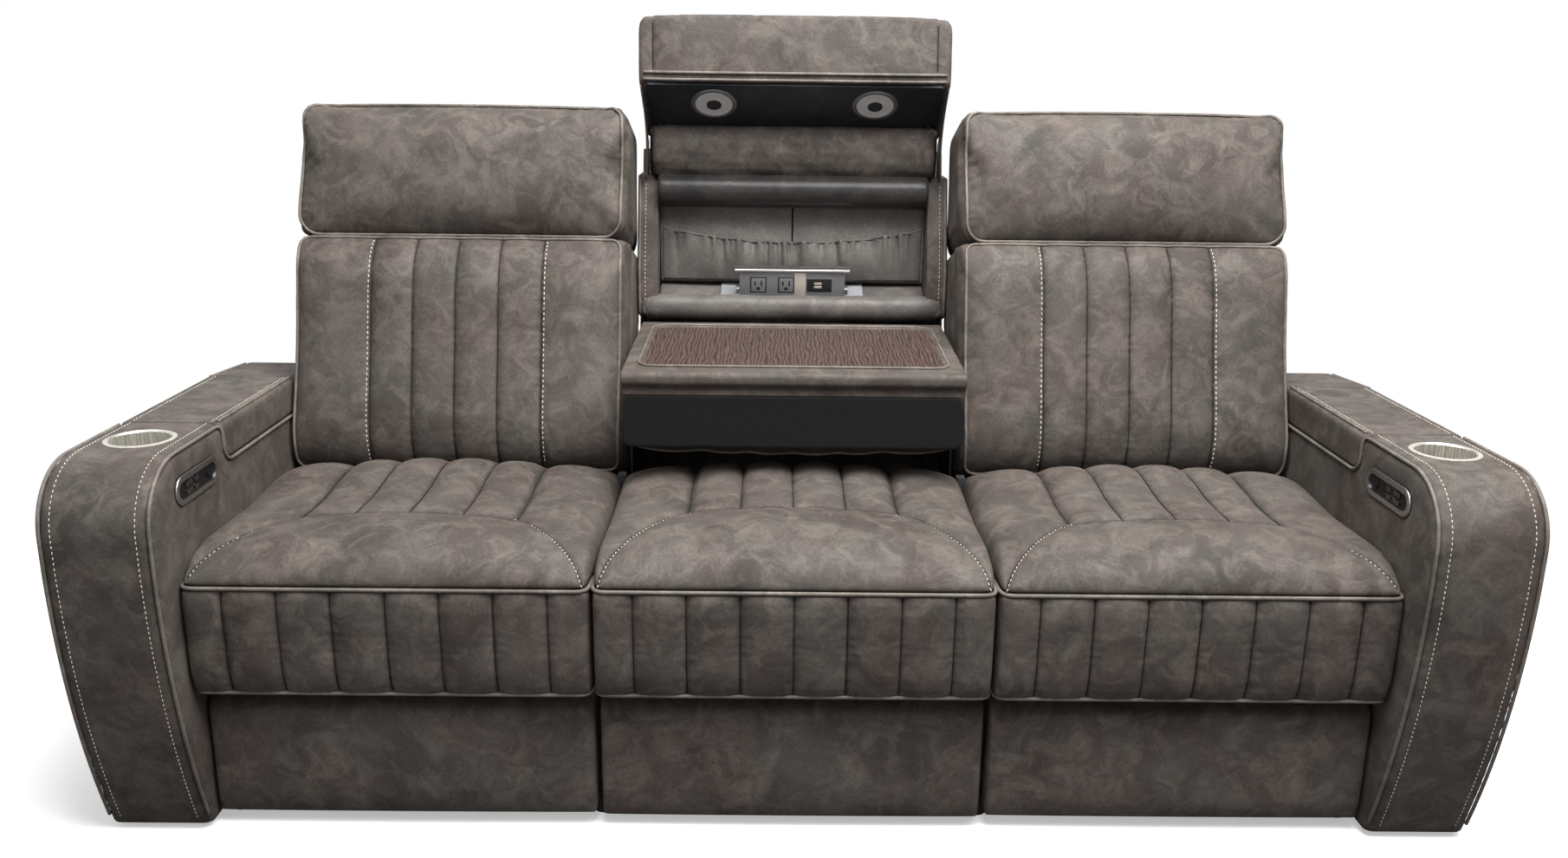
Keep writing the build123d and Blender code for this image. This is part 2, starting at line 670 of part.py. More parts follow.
for name in SIDES:
    centre = SEAT_CENTRES[name]

    with BuildPart() as mechanism_frame:
        for side in (-1, 1):
            with BuildSketch(side_view(centre + side * plate_inner)):
                add(
                    outline(
                        (DRIVE_PIVOT[0] - 50, FRAME_BOTTOM + 2),
                        (DRIVE_PIVOT[0] + 60, FRAME_BOTTOM + 2),
                        (BACK_HINGE[0] + 50, FRAME_BOTTOM + 140),
                        (BACK_HINGE[0] + 34, BACK_HINGE[1] + 6),
                        (BACK_HINGE[0] + 14, BACK_HINGE[1] + 20),
                        (BACK_HINGE[0] - 14, BACK_HINGE[1] + 20),
                        (BACK_HINGE[0] - 28, BACK_HINGE[1] - 30),
                        (DRIVE_PIVOT[0] - 50, FRAME_BOTTOM + 90),
                    )
                )
                disc(DRIVE_PIVOT, JOURNAL_RADIUS + PIN_CLEARANCE, Mode.SUBTRACT)
            extrude(amount=side * SIDE_PLATE_THICKNESS)
            with BuildSketch(side_view(centre + side * plate_inner)):
                disc(BACK_HINGE, JOURNAL_RADIUS)
            extrude(amount=-side * 2 * SIDE_PLATE_THICKNESS)
        with BuildSketch(side_view(centre - plate_inner)):
            disc((BACK_HINGE[0] + 20, FRAME_BOTTOM + 180), TORQUE_TUBE_RADIUS)
        extrude(amount=2 * plate_inner)
    finish(mechanism_frame, f"{name}_mechanism_frame")

    with BuildPart() as recline_motor:
        motor_z = FRAME_BOTTOM + 90
        rail_front = DRIVE_PIVOT[0] + 70
        with BuildSketch(side_view(centre - 18)):
            with Locations(((rail_front + rear_rail_y) / 2, motor_z)):
                Rectangle(rear_rail_y - rail_front, 24)
        extrude(amount=36)
        with BuildSketch(Plane.XZ.offset(-rear_rail_y)):
            with Locations((centre, motor_z)):
                RectangleRounded(70, 84, 8)
        extrude(amount=92)
        with BuildSketch(Plane.XY.offset(motor_z)):
            disc((centre, rear_rail_y - 50), 31)
        extrude(amount=150)
    finish(recline_motor, f"{name}_recline_motor")

    with BuildPart() as drive_links:
        with BuildSketch(side_view(centre - drive_outer)):
            disc(DRIVE_PIVOT, TORQUE_TUBE_RADIUS)
        extrude(amount=2 * drive_outer)
        with BuildSketch(side_view(centre - plate_outer + LINK_GAP)):
            disc(DRIVE_PIVOT, JOURNAL_RADIUS)
        extrude(amount=2 * (plate_outer - LINK_GAP))
        for side in (-1, 1):
            with BuildSketch(side_view(centre + side * drive_inner)):
                strap(DRIVE_PIVOT, knee, LINK_WIDTH)
            extrude(amount=side * LINK_THICKNESS)
            with BuildSketch(side_view(centre + side * front_inner)):
                disc(knee, PIN_RADIUS)
            extrude(amount=side * (drive_inner - front_inner))
    finish(drive_links, f"{name}_drive_links")

    with BuildPart() as front_links:
        for side in (-1, 1):
            with BuildSketch(side_view(centre + side * front_inner)):
                strap(knee, PANEL_PIVOT, LINK_WIDTH)
                disc(knee, PIN_RADIUS + PIN_CLEARANCE, Mode.SUBTRACT)
                disc(PANEL_PIVOT, PIN_RADIUS + PIN_CLEARANCE, Mode.SUBTRACT)
            extrude(amount=side * LINK_THICKNESS)
    finish(front_links, f"{name}_front_links")

    # The back of this seat: frame, lumbar cushion and headrest
    with BuildPart() as back_frame:
        side_plane = Plane(
            origin=(centre - half_back, back_y, SEAT_HEIGHT),
            x_dir=(0, tilt_cos, -tilt_sin),
            z_dir=(1, 0, 0),
        )
        with BuildSketch(side_plane):
            add(
                outline(
                    (LUMBAR_THICKNESS, -BACK_FRAME_TAIL),
                    (LUMBAR_THICKNESS + 30, -BACK_FRAME_TAIL),
                    (BACK_THICKNESS, 40),
                    (BACK_THICKNESS, LUMBAR_LENGTH),
                    (LUMBAR_THICKNESS, LUMBAR_LENGTH),
                )
            )
        extrude(amount=2 * half_back)
        with BuildSketch(side_plane.offset(2 * BACK_WALL)):
            add(
                outline(
                    (LUMBAR_THICKNESS, -BACK_FRAME_TAIL + 60),
                    (LUMBAR_THICKNESS + 24, -BACK_FRAME_TAIL + 60),
                    (BACK_THICKNESS - BACK_WALL, 60),
                    (BACK_THICKNESS - BACK_WALL, LUMBAR_LENGTH - BACK_WALL),
                    (LUMBAR_THICKNESS, LUMBAR_LENGTH - BACK_WALL),
                )
            )
        extrude(amount=2 * half_back - 4 * BACK_WALL, mode=Mode.SUBTRACT)
        for side in (-1, 1):
            with BuildSketch(side_view(centre + side * (half_back + 1))):
                with Locations(BACK_HINGE):
                    Rectangle(HINGE_RELIEF, HINGE_RELIEF)
            extrude(amount=-side * (half_back + 1 - plate_inner + LINK_GAP), mode=Mode.SUBTRACT)
            with BuildSketch(side_view(centre + side * plate_inner)):
                disc(BACK_HINGE, JOURNAL_RADIUS + PIN_CLEARANCE)
            extrude(amount=-side * 3 * SIDE_PLATE_THICKNESS, mode=Mode.SUBTRACT)
    finish(back_frame, f"{name}_back_frame")

    with BuildPart() as lumbar_cushion:
        for up, edge, crown, fullness in (
            (-LUMBAR_TAIL, 34, 2, 0.03),
            (8, 3, 12, 0.05),
            (LUMBAR_LENGTH / 2, 0, LUMBAR_CROWN, 0.07),
            (LUMBAR_LENGTH - 24, 0, 12, 0.05),
            (LUMBAR_LENGTH, 12, 2, 0.03),
        ):
            with BuildSketch(across_back(centre, up)):
                add(
                    pad_section(
                        half_back,
                        LUMBAR_THICKNESS,
                        edge,
                        crown,
                        seam_lines(BACK_SEAM_PITCH, 5),
                        fullness,
                        BACK_SIDE_BOW,
                    )
                )
        loft()
    finish(lumbar_cushion, f"{name}_lumbar_cushion")

    with BuildPart() as headrest:
        head_low = LUMBAR_LENGTH + FIT
        for up, edge, crown, back in (
            (0, 12, 2, BACK_THICKNESS - 8),
            (22, 0, 12, BACK_THICKNESS),
            (HEAD_LENGTH / 2, 0, HEAD_CROWN, (BACK_THICKNESS + HEAD_TOP_THICKNESS) / 2 + 4),
            (HEAD_LENGTH - 26, 2, 14, HEAD_TOP_THICKNESS + 6),
            (HEAD_LENGTH, 20, 2, HEAD_TOP_THICKNESS - 16),
        ):
            with BuildSketch(across_back(centre, head_low + up)):
                add(pad_section(half_back, back, edge, crown, [], 0, BACK_SIDE_BOW))
        loft()
    finish(headrest, f"{name}_headrest")

# --- Drop-down console, lying open

console_length = CONSOLE_TAIL - CONSOLE_FREE_END
pad_top = CONSOLE_FACE + CONSOLE_PAD
tray_slope = degrees(atan2(CONSOLE_TAIL_TOP - CONSOLE_LIP_TOP, console_length))


def tray_top(y):
    """Height of the tray's top face at y."""
    return CONSOLE_LIP_TOP + (y - CONSOLE_FREE_END) * tan(radians(tray_slope))


with BuildPart() as console_cushion:
    for along, edge, crown, fullness in (
        (2, 24, 2, 0.03),
        (34, 4, 10, 0.05),
        (console_length / 2, 0, 24, 0.07),
        (console_length - 40, 0, 12, 0.05),
        (console_length - CONSOLE_LIP_PROUD, 10, 2, 0.03),
    ):
        origin = (0, CONSOLE_TAIL - along, CONSOLE_FACE)
        with BuildSketch(Plane(origin=origin, x_dir=(1, 0, 0), z_dir=(0, -1, 0))):
            add(
                pad_section(
                    CONSOLE_HALF_WIDTH - 1,
                    CONSOLE_PAD,
                    edge,
                    crown,
                    seam_lines(BACK_SEAM_PITCH, 5),
                    fullness,
                    BACK_SIDE_BOW,
                )
            )
    loft()
finish(console_cushion, "console_cushion")

wood_middle = CONSOLE_FREE_END + WOOD_FRONT_MARGIN + WOOD_LENGTH / 2
wood_plane = Plane(
    origin=(0, wood_middle, tray_top(wood_middle)),
    x_dir=(1, 0, 0),
    z_dir=(0, -sin(radians(tray_slope)), cos(radians(tray_slope))),
)

with BuildPart() as console_tray_frame:
    with BuildSketch(side_view(-CONSOLE_HALF_WIDTH)):
        add(
            outline(
                (CONSOLE_FREE_END + CONSOLE_LIP_PROUD, pad_top),
                (CONSOLE_TAIL - 12, pad_top),
                (CONSOLE_TAIL - 4, tray_top(CONSOLE_TAIL) - 14),
                (CONSOLE_TAIL - 18, tray_top(CONSOLE_TAIL - 18)),
                (CONSOLE_FREE_END, tray_top(CONSOLE_FREE_END)),
                (CONSOLE_FREE_END, CONSOLE_LIP_TOP - CONSOLE_LIP_HEIGHT),
                (CONSOLE_FREE_END + CONSOLE_LIP_PROUD, CONSOLE_LIP_TOP - CONSOLE_LIP_HEIGHT),
            )
        )
    extrude(amount=2 * CONSOLE_HALF_WIDTH)
    lip = console_tray_frame.edges().filter_by(Axis.X).sort_by(Axis.Y)[:2]
    fillet(lip, radius=CONSOLE_LIP_HEIGHT * 0.35)
    with BuildSketch(wood_plane):
        RectangleRounded(WOOD_WIDTH, WOOD_LENGTH, WOOD_CORNER)
    extrude(amount=-WOOD_THICKNESS, mode=Mode.SUBTRACT)
    with BuildSketch(wood_plane):
        RectangleRounded(WOOD_WIDTH + 2 * WOOD_BEAD, WOOD_LENGTH + 2 * WOOD_BEAD, WOOD_CORNER + WOOD_BEAD)
        RectangleRounded(WOOD_WIDTH, WOOD_LENGTH, WOOD_CORNER, mode=Mode.SUBTRACT)
    extrude(amount=WOOD_BEAD / 2)
finish(console_tray_frame, "console_tray_frame")

with BuildPart() as console_wood_panel:
    with BuildSketch(wood_plane.offset(-WOOD_THICKNESS)):
        RectangleRounded(WOOD_WIDTH - 2 * FIT, WOOD_LENGTH - 2 * FIT, WOOD_CORNER)
    extrude(amount=WOOD_THICKNESS - 1)
finish(console_wood_panel, "console_wood_panel")

bracket_plate_inner = CONSOLE_HALF_WIDTH + HINGE_PLATE + LINK_GAP
pivot_front = CONSOLE_PIVOT[0] - HINGE_RING
pivot_rear = CONSOLE_PIVOT[0] + HINGE_RING

with BuildPart() as console_hinge_plates:
    for side in (-1, 1):
        with BuildSketch(side_view(side * CONSOLE_HALF_WIDTH)):
            add(
                outline(
                    (pivot_front, CONSOLE_PIVOT[1]),
                    (pivot_rear, CONSOLE_PIVOT[1]),
                    (CONSOLE_TAIL - 40, pad_top + 8),
                    (CONSOLE_TAIL - 60, CONSOLE_LIP_TOP - 8),
                    (pivot_front, CONSOLE_LIP_TOP - 8),
                )
            )
            disc(CONSOLE_PIVOT, HINGE_RING)
            disc(CONSOLE_PIVOT, CONSOLE_PIN_RADIUS + PIN_CLEARANCE, Mode.SUBTRACT)
        extrude(amount=side * HINGE_PLATE)
finish(console_hinge_plates, "console_hinge_plates")

with BuildPart() as console_pivot_brackets:
    for side in (-1, 1):
        with BuildSketch(side_view(side * bracket_plate_inner)):
            add(
                outline(
                    (pivot_front - 30, DECK_TOP),
                    (pivot_rear + 30, DECK_TOP),
                    (pivot_rear, CONSOLE_PIVOT[1]),
                    (pivot_front, CONSOLE_PIVOT[1]),
                )
            )
            disc(CONSOLE_PIVOT, HINGE_RING)
        extrude(amount=side * HINGE_PLATE)
        with BuildSketch(side_view(side * (CONSOLE_HALF_WIDTH + FIT))):
            disc(CONSOLE_PIVOT, CONSOLE_PIN_RADIUS)
        extrude(amount=side * (HINGE_PLATE + LINK_GAP))
finish(console_pivot_brackets, "console_pivot_brackets")

# --- Middle back: rear cover, cheeks and lining, ledge, roll and pouch

cheek_outer = FLIP_HALF_WIDTH + 4
cheek_inner = cheek_outer - CHEEK_THICKNESS
cover_outside = (rear_y - back_y) * tilt_cos - (REAR_COVER_TOP - SEAT_HEIGHT) * tilt_sin
cover_inside = cover_outside - MIDDLE_WALL
cover_middle = cover_outside - MIDDLE_WALL / 2
nose_top = (LEDGE_FRONT, LEDGE_BOTTOM + LEDGE_NOSE)
cheek_front = LEDGE_FRONT + LEDGE_NOSE / 2
cheek_bend = SEAT_HEIGHT + (cheek_front - back_y - CHEEK_SETBACK / tilt_cos) / tan(radians(BACK_TILT))
slope_sin = sin(radians(LEDGE_SLOPE))
slope_cos = cos(radians(LEDGE_SLOPE))
ledge_run = (LINER_SETBACK - LEDGE_FRONT) / slope_cos


def on_ledge(along, up):
    """Side-view point at a distance up the ledge's slope and square to it."""
    return (
        nose_top[0] + along * slope_cos - up * slope_sin,
        nose_top[1] + along * slope_sin + up * slope_cos,
    )


ledge_rear_z = on_ledge(ledge_run, 0)[1]

with BuildPart() as middle_back_frame:
    with BuildSketch(side_view(-half_back)):
        add(
            outline(
                (behind_back(frame_top, cover_inside), frame_top),
                (behind_back(frame_top, cover_outside), frame_top),
                (behind_back(REAR_COVER_TOP, cover_outside), REAR_COVER_TOP),
                (behind_back(REAR_COVER_TOP, cover_inside), REAR_COVER_TOP),
            )
        )
    extrude(amount=2 * half_back)
    for side in (-1, 1):
        with BuildSketch(side_view(side * cheek_inner)):
            add(
                outline(
                    (behind_back(DECK_TOP, cover_middle), DECK_TOP),
                    (behind_back(CHEEK_TOP, cover_middle), CHEEK_TOP),
                    (behind_back(CHEEK_TOP, CHEEK_SETBACK), CHEEK_TOP),
                    (cheek_front, cheek_bend),
                    (cheek_front, LEDGE_BOTTOM),
                    (behind_back(LEDGE_BOTTOM, cover_inside - POST_DEPTH), LEDGE_BOTTOM),
                    (behind_back(DECK_TOP, cover_inside - POST_DEPTH), DECK_TOP),
                )
            )
        extrude(amount=side * CHEEK_THICKNESS)
    with BuildSketch(side_view(-cheek_inner)):
        with Locations((LINER_SETBACK + LINER_THICKNESS / 2, (ledge_rear_z + LINER_TOP) / 2)):
            Rectangle(LINER_THICKNESS, LINER_TOP - ledge_rear_z)
    extrude(amount=2 * cheek_inner)
finish(middle_back_frame, "middle_back_frame")

with BuildPart() as recess_roll:
    with BuildSketch(side_view(-cheek_inner)):
        disc(ROLL_CENTRE, ROLL_RADIUS)
        add(
            outline(
                BAND_FOOT,
                (BAND_FOOT[0] + 3 * BAND_THICKNESS, BAND_FOOT[1]),
                (BAND_TOP[0] + BAND_THICKNESS, BAND_TOP[1]),
                BAND_TOP,
            )
        )
        add(
            outline(
                (ROLL_CENTRE[0], ROLL_CENTRE[1] - 8),
                (behind_back(ROLL_CENTRE[1] - 8, cover_inside), ROLL_CENTRE[1] - 8),
                (behind_back(ROLL_CENTRE[1] + 20, cover_inside), ROLL_CENTRE[1] + 20),
                (ROLL_CENTRE[0], ROLL_CENTRE[1] + 20),
            )
        )
    extrude(amount=2 * cheek_inner)
finish(recess_roll, "recess_roll")

pouch_half = cheek_inner - 4
pouch_bottom = ledge_rear_z + POUCH_RAISE


def pouch_plan(cloth, side_inset):
    """Plan of the gathered pouch against the lining, grown to the front by cloth."""
    half = pouch_half - side_inset
    stops = seam_lines(2 * half / POUCH_FOLDS, POUCH_FOLDS + 1)
    front = [(x, LINER_SETBACK - 4 - POUCH_BULGE * (1 - (x / pouch_half) ** 4) - cloth) for x in stops]
    with BuildSketch(Plane.XY) as section:
        with BuildLine():
            for start, end in zip(front, front[1:]):
                ThreePointArc(start, ((start[0] + end[0]) / 2, (start[1] + end[1]) / 2 - 3), end)
            Line(front[-1], (half, LINER_SETBACK))
            Line((half, LINER_SETBACK), (-half, LINER_SETBACK))
            Line((-half, LINER_SETBACK), front[0])
        make_face()
    return section.sketch


with BuildPart() as storage_pouch:
    with BuildSketch(Plane.XY.offset(pouch_bottom)):
        add(pouch_plan(POUCH_CLOTH, 0))
    extrude(amount=POUCH_TOP - pouch_bottom)
    with BuildSketch(Plane.XY.offset(pouch_bottom + POUCH_CLOTH)):
        add(pouch_plan(0, POUCH_CLOTH))
    extrude(amount=POUCH_TOP - pouch_bottom, mode=Mode.SUBTRACT)
finish(storage_pouch, "storage_pouch")

ledge_plane = Plane(origin=(0, *nose_top), x_dir=(1, 0, 0), z_dir=(0, -slope_sin, slope_cos))
slot_middle = MODULE_OFFSET + MODULE_DEPTH / 2
module_ears = MODULE_WIDTH + 2 * MODULE_GUIDE_WIDTH

with BuildPart() as console_ledge:
    with BuildSketch(side_view(-cheek_inner)):
        add(
            outline(
                (LEDGE_FRONT, LEDGE_BOTTOM),
                nose_top,
                (LINER_SETBACK, ledge_rear_z),
                (LINER_SETBACK, ledge_rear_z - LEDGE_THICKNESS),
                (LEDGE_FRONT + 2 * LEDGE_NOSE, LEDGE_BOTTOM),
            )
        )
    extrude(amount=2 * cheek_inner)
    with BuildSketch(side_view(-cheek_outer)):
        nose_rise = (cheek_front - LEDGE_FRONT) * slope_sin / slope_cos
        add(
            outline(
                (LEDGE_FRONT, LEDGE_BOTTOM),
                nose_top,
                (cheek_front, nose_top[1] + nose_rise),
                (cheek_front, LEDGE_BOTTOM),
            )
        )
    extrude(amount=2 * cheek_outer)
    nose_edges = console_ledge.edges().filter_by(Axis.X).group_by(Axis.Y)[0]
    fillet(nose_edges, radius=LEDGE_NOSE / 3)
    with BuildSketch(ledge_plane.offset(LEDGE_THICKNESS)):
        with Locations((0, slot_middle)):
            Rectangle(module_ears + 2 * MODULE_SLOT_GAP, MODULE_DEPTH + 2 * MODULE_SLOT_GAP)
    extrude(amount=-4 * LEDGE_THICKNESS, mode=Mode.SUBTRACT)
finish(console_ledge, "console_ledge")

with BuildPart() as power_module_plate:
    plate_length = ledge_run - MODULE_PLATE_FRONT - 2
    with BuildSketch(ledge_plane):
        with Locations((0, MODULE_PLATE_FRONT + plate_length / 2)):
            Rectangle(MODULE_PLATE_WIDTH, plate_length)
    extrude(amount=MODULE_PLATE_THICKNESS)
    with BuildSketch(ledge_plane):
        with Locations((0, slot_middle)):
            Rectangle(module_ears + 2 * FIT, MODULE_DEPTH + 2 * FIT)
    extrude(amount=MODULE_PLATE_THICKNESS, mode=Mode.SUBTRACT)
finish(power_module_plate, "power_module_plate")

with BuildPart() as power_module:
    with BuildSketch(ledge_plane.offset(FIT)):
        with Locations((0, slot_middle)):
            Rectangle(MODULE_WIDTH, MODULE_DEPTH)
    extrude(amount=MODULE_FACE - FIT)
    with BuildSketch(ledge_plane.offset(FIT)):
        with Locations((0, slot_middle)):
            Rectangle(module_ears, MODULE_DEPTH)
    extrude(amount=MODULE_GUIDE_HEIGHT)
    with BuildSketch(ledge_plane.offset(MODULE_FACE)):
        with Locations((0, slot_middle)):
            Rectangle(MODULE_LID_WIDTH, MODULE_DEPTH + 2 * MODULE_LID_OVERHANG)
    extrude(amount=MODULE_LID_THICKNESS)
finish(power_module, "power_module")

# --- Flip-up headrest, flipped, with its light panel and hinges


def flipped(up, rearwards):
    """Side-view point of the headrest, flipped up, given its place on the closed headrest."""
    closed = on_back(FLIP_START + up, rearwards)
    turn = radians(-FLIP_ANGLE)
    y = closed[0] - FLIP_PIVOT[0]
    z = closed[1] - FLIP_PIVOT[1]
    return (
        FLIP_PIVOT[0] + y * cos(turn) - z * sin(turn),
        FLIP_PIVOT[1] + y * sin(turn) + z * cos(turn),
    )


def flip_section(inset, crown):
    """Side view of the headrest: crowned face, rounded top, flat back and bevelled foot."""
    low = flipped(inset, inset)
    high = flipped(FLIP_LENGTH - inset, inset)
    heel = flipped(FLIP_LENGTH - inset, FLIP_THICKNESS)
    rim = flipped(FLIP_BEVEL + inset, FLIP_THICKNESS)
    with BuildSketch(Plane.XY) as section:
        with BuildLine():
            ThreePointArc(low, flipped(FLIP_LENGTH / 2, inset - crown), high)
            ThreePointArc(high, flipped(FLIP_LENGTH - inset + 4, FLIP_THICKNESS / 2), heel)
            Line(heel, rim)
            ThreePointArc(rim, flipped(FLIP_BEVEL / 2 + inset - 4, FLIP_THICKNESS / 2), low)
        make_face()
    return section.sketch


with BuildPart() as flip_headrest:
    for share, inset, crown in ((0, 9, 8), (0.08, 1, 24), (0.5, 0, FLIP_CROWN), (0.92, 1, 24), (1, 9, 8)):
        with BuildSketch(side_view((2 * share - 1) * FLIP_HALF_WIDTH)):
            add(flip_section(inset, crown))
    loft()
finish(flip_headrest, "flip_headrest")

panel_length = FLIP_LENGTH - FLIP_BEVEL
panel_start = flipped(FLIP_BEVEL, FLIP_THICKNESS)
panel_step = flipped(FLIP_BEVEL, FLIP_THICKNESS + 1)
light_plane = Plane(
    origin=(0, *panel_start),
    x_dir=(-1, 0, 0),
    z_dir=(0, panel_step[0] - panel_start[0], panel_step[1] - panel_start[1]),
)
light_along = panel_length * 0.33
light_places = [(-LIGHT_SPACING / 2, light_along), (LIGHT_SPACING / 2, light_along)]

with BuildPart() as light_panel:
    with BuildSketch(light_plane):
        with Locations((0, panel_length / 2)):
            RectangleRounded(
                2 * (FLIP_HALF_WIDTH - LIGHT_MARGIN),
                panel_length - LIGHT_MARGIN,
                LIGHT_MARGIN / 2,
            )
        for place in light_places:
            disc(place, LIGHT_BUTTON_RADIUS + FIT, Mode.SUBTRACT)
    extrude(amount=LIGHT_PLATE)
finish(light_panel, "light_panel")

with BuildPart() as reading_light_rings:
    for place in light_places:
        with BuildSketch(light_plane.offset(LIGHT_PLATE)):
            disc(place, LIGHT_RADIUS)
            disc(place, LIGHT_BUTTON_RADIUS + FIT, Mode.SUBTRACT)
        extrude(amount=LIGHT_RISE / 2)
        with BuildSketch(light_plane.offset(LIGHT_PLATE)):
            disc(place, LIGHT_RADIUS - 9)
            disc(place, LIGHT_BUTTON_RADIUS + FIT, Mode.SUBTRACT)
        extrude(amount=LIGHT_RISE)
finish(reading_light_rings, "reading_light_rings")

for name, place in zip(("right", "left"), light_places):
    with BuildPart() as light_button:
        with BuildSketch(light_plane.offset(LIGHT_BUTTON_TRAVEL + 2 * FIT)):
            disc(place, LIGHT_BUTTON_RADIUS)
        extrude(amount=LIGHT_PLATE + LIGHT_RISE + LIGHT_BUTTON_PROUD - LIGHT_BUTTON_TRAVEL - 2 * FIT)
    finish(light_button, f"{name}_reading_light_button")

post_inner = cheek_inner + LINK_GAP
lug_outer = post_inner - 2 * LINK_GAP
lug_foot = (FLIP_PIVOT[0] - on_back(FLIP_START, 0)[0], FLIP_PIVOT[1] - on_back(FLIP_START, 0)[1])
lug_up = lug_foot[0] * tilt_sin + lug_foot[1] * tilt_cos
plate_back = FLIP_THICKNESS + LIGHT_PLATE

with BuildPart() as flip_headrest_arms:
    for side in (-1, 1):
        with BuildSketch(side_view(side * (lug_outer - FLIP_LUG_THICKNESS))):
            add(
                outline(
                    flipped(lug_up - FLIP_LUG_HALF_LENGTH, plate_back),
                    flipped(lug_up - FLIP_LUG_HALF_LENGTH, plate_back + 3),
                    flipped(lug_up - FLIP_EYE_RADIUS, plate_back + FLIP_EYE_RADIUS),
                    flipped(lug_up + FLIP_EYE_RADIUS, plate_back + FLIP_EYE_RADIUS),
                    flipped(lug_up + FLIP_LUG_HALF_LENGTH, plate_back + 3),
                    flipped(lug_up + FLIP_LUG_HALF_LENGTH, plate_back),
                )
            )
            disc(FLIP_PIVOT, FLIP_EYE_RADIUS)
            disc(FLIP_PIVOT, FLIP_PIN_RADIUS + PIN_CLEARANCE, Mode.SUBTRACT)
        extrude(amount=side * FLIP_LUG_THICKNESS)
finish(flip_headrest_arms, "flip_headrest_arms")

with BuildPart() as flip_headrest_brackets:
    for side in (-1, 1):
        with BuildSketch(side_view(side * post_inner)):
            add(
                outline(
                    (FLIP_PIVOT[0] - FLIP_EYE_RADIUS, FLIP_PIVOT[1]),
                    (FLIP_PIVOT[0] + FLIP_EYE_RADIUS, FLIP_PIVOT[1]),
                    (FLIP_PIVOT[0] + 4 * FLIP_EYE_RADIUS, CHEEK_TOP),
                    (behind_back(CHEEK_TOP, CHEEK_SETBACK) + 2, CHEEK_TOP),
                )
            )
            disc(FLIP_PIVOT, FLIP_EYE_RADIUS)
        extrude(amount=side * FLIP_POST_THICKNESS)
        with BuildSketch(side_view(side * post_inner)):
            disc(FLIP_PIVOT, FLIP_PIN_RADIUS)
        extrude(amount=-side * (2 * LINK_GAP + FLIP_LUG_THICKNESS))
finish(flip_headrest_brackets, "flip_headrest_brackets")
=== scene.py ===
from functools import partial
from math import cos, dist, pi, radians, sin

import bmesh
import bpy
import numpy as np
from mathutils import Matrix, Vector
from mathutils.bvhtree import BVHTree
from mathutils.kdtree import KDTree


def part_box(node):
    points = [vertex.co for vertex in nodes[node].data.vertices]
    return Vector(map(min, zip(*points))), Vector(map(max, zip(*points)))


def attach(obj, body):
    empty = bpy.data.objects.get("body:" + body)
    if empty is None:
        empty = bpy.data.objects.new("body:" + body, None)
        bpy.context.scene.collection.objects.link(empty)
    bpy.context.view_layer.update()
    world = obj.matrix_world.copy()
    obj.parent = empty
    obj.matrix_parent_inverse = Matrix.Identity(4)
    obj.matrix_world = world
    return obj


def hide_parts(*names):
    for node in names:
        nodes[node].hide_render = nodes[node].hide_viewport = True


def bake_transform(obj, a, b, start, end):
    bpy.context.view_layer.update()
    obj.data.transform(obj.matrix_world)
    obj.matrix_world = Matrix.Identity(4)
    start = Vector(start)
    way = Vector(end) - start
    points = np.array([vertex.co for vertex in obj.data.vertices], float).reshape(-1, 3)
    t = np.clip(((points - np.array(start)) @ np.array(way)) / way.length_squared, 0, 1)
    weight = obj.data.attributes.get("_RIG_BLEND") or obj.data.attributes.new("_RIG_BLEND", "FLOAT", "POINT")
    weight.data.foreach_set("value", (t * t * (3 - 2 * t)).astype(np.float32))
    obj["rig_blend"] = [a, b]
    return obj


# A three-seat power reclining sofa with a drop-down console in its middle back, upholstered in
# brushed nubuck-look cover with piping and off-white topstitching. Left and right are the
# viewer's. Lengths here are millimetres, turned into metres where a mesh is made.

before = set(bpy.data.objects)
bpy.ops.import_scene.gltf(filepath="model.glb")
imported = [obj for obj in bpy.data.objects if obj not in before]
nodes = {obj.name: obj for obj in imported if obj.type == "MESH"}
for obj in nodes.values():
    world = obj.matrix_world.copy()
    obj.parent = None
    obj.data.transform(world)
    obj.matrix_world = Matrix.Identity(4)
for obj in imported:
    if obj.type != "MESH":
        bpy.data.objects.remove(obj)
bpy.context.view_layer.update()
collection = bpy.context.scene.collection
MM = 0.001

SEATS = {"left": -625.0, "mid": 0.0, "right": 625.0}
SIDES = {"left": -1, "right": 1}
DOWN = (0, 0, -1)
IN = (0, 1, 0)

ARM_INNER, ARM_OUTER, ARM_TOP = 937.5, 1105.0, 636
LID_FRONT, LID_REAR, LID_LOW, LID_CORNER = -223, 123, 570.0, 26
CHANNEL_PITCH = 87.5
PANEL_RIB_PITCH = 82.5
BACK_RIB_PITCH = 79

# The backs lean by TILT from this point (y, z); CUSHION_FRONT is a start before their faces
TILT = radians(17.1)
BACK_FOOT = (50, 507)
CUSHION_FRONT = -40
INTO_BACK = (0, cos(TILT), -sin(TILT))
# The ledge behind the console slopes by LEDGE from this point (y, z)
LEDGE = radians(23)
LEDGE_FOOT = (298, 745)

# --- Meshes


def select_only(piece):
    bpy.ops.object.select_all(action="DESELECT")
    piece.select_set(True)
    bpy.context.view_layer.objects.active = piece


def modify(piece, name, kind, **settings):
    """Adds a modifier with its settings."""
    made = piece.modifiers.new(name, kind)
    for key, value in settings.items():
        setattr(made, key, value)
    return made


def apply_modifiers(piece):
    select_only(piece)
    for modifier in list(piece.modifiers):
        bpy.ops.object.modifier_apply(modifier=modifier.name)


def vectors_of(items, key):
    flat = np.empty(3 * len(items))
    items.foreach_get(key, flat)
    return flat.reshape(-1, 3)


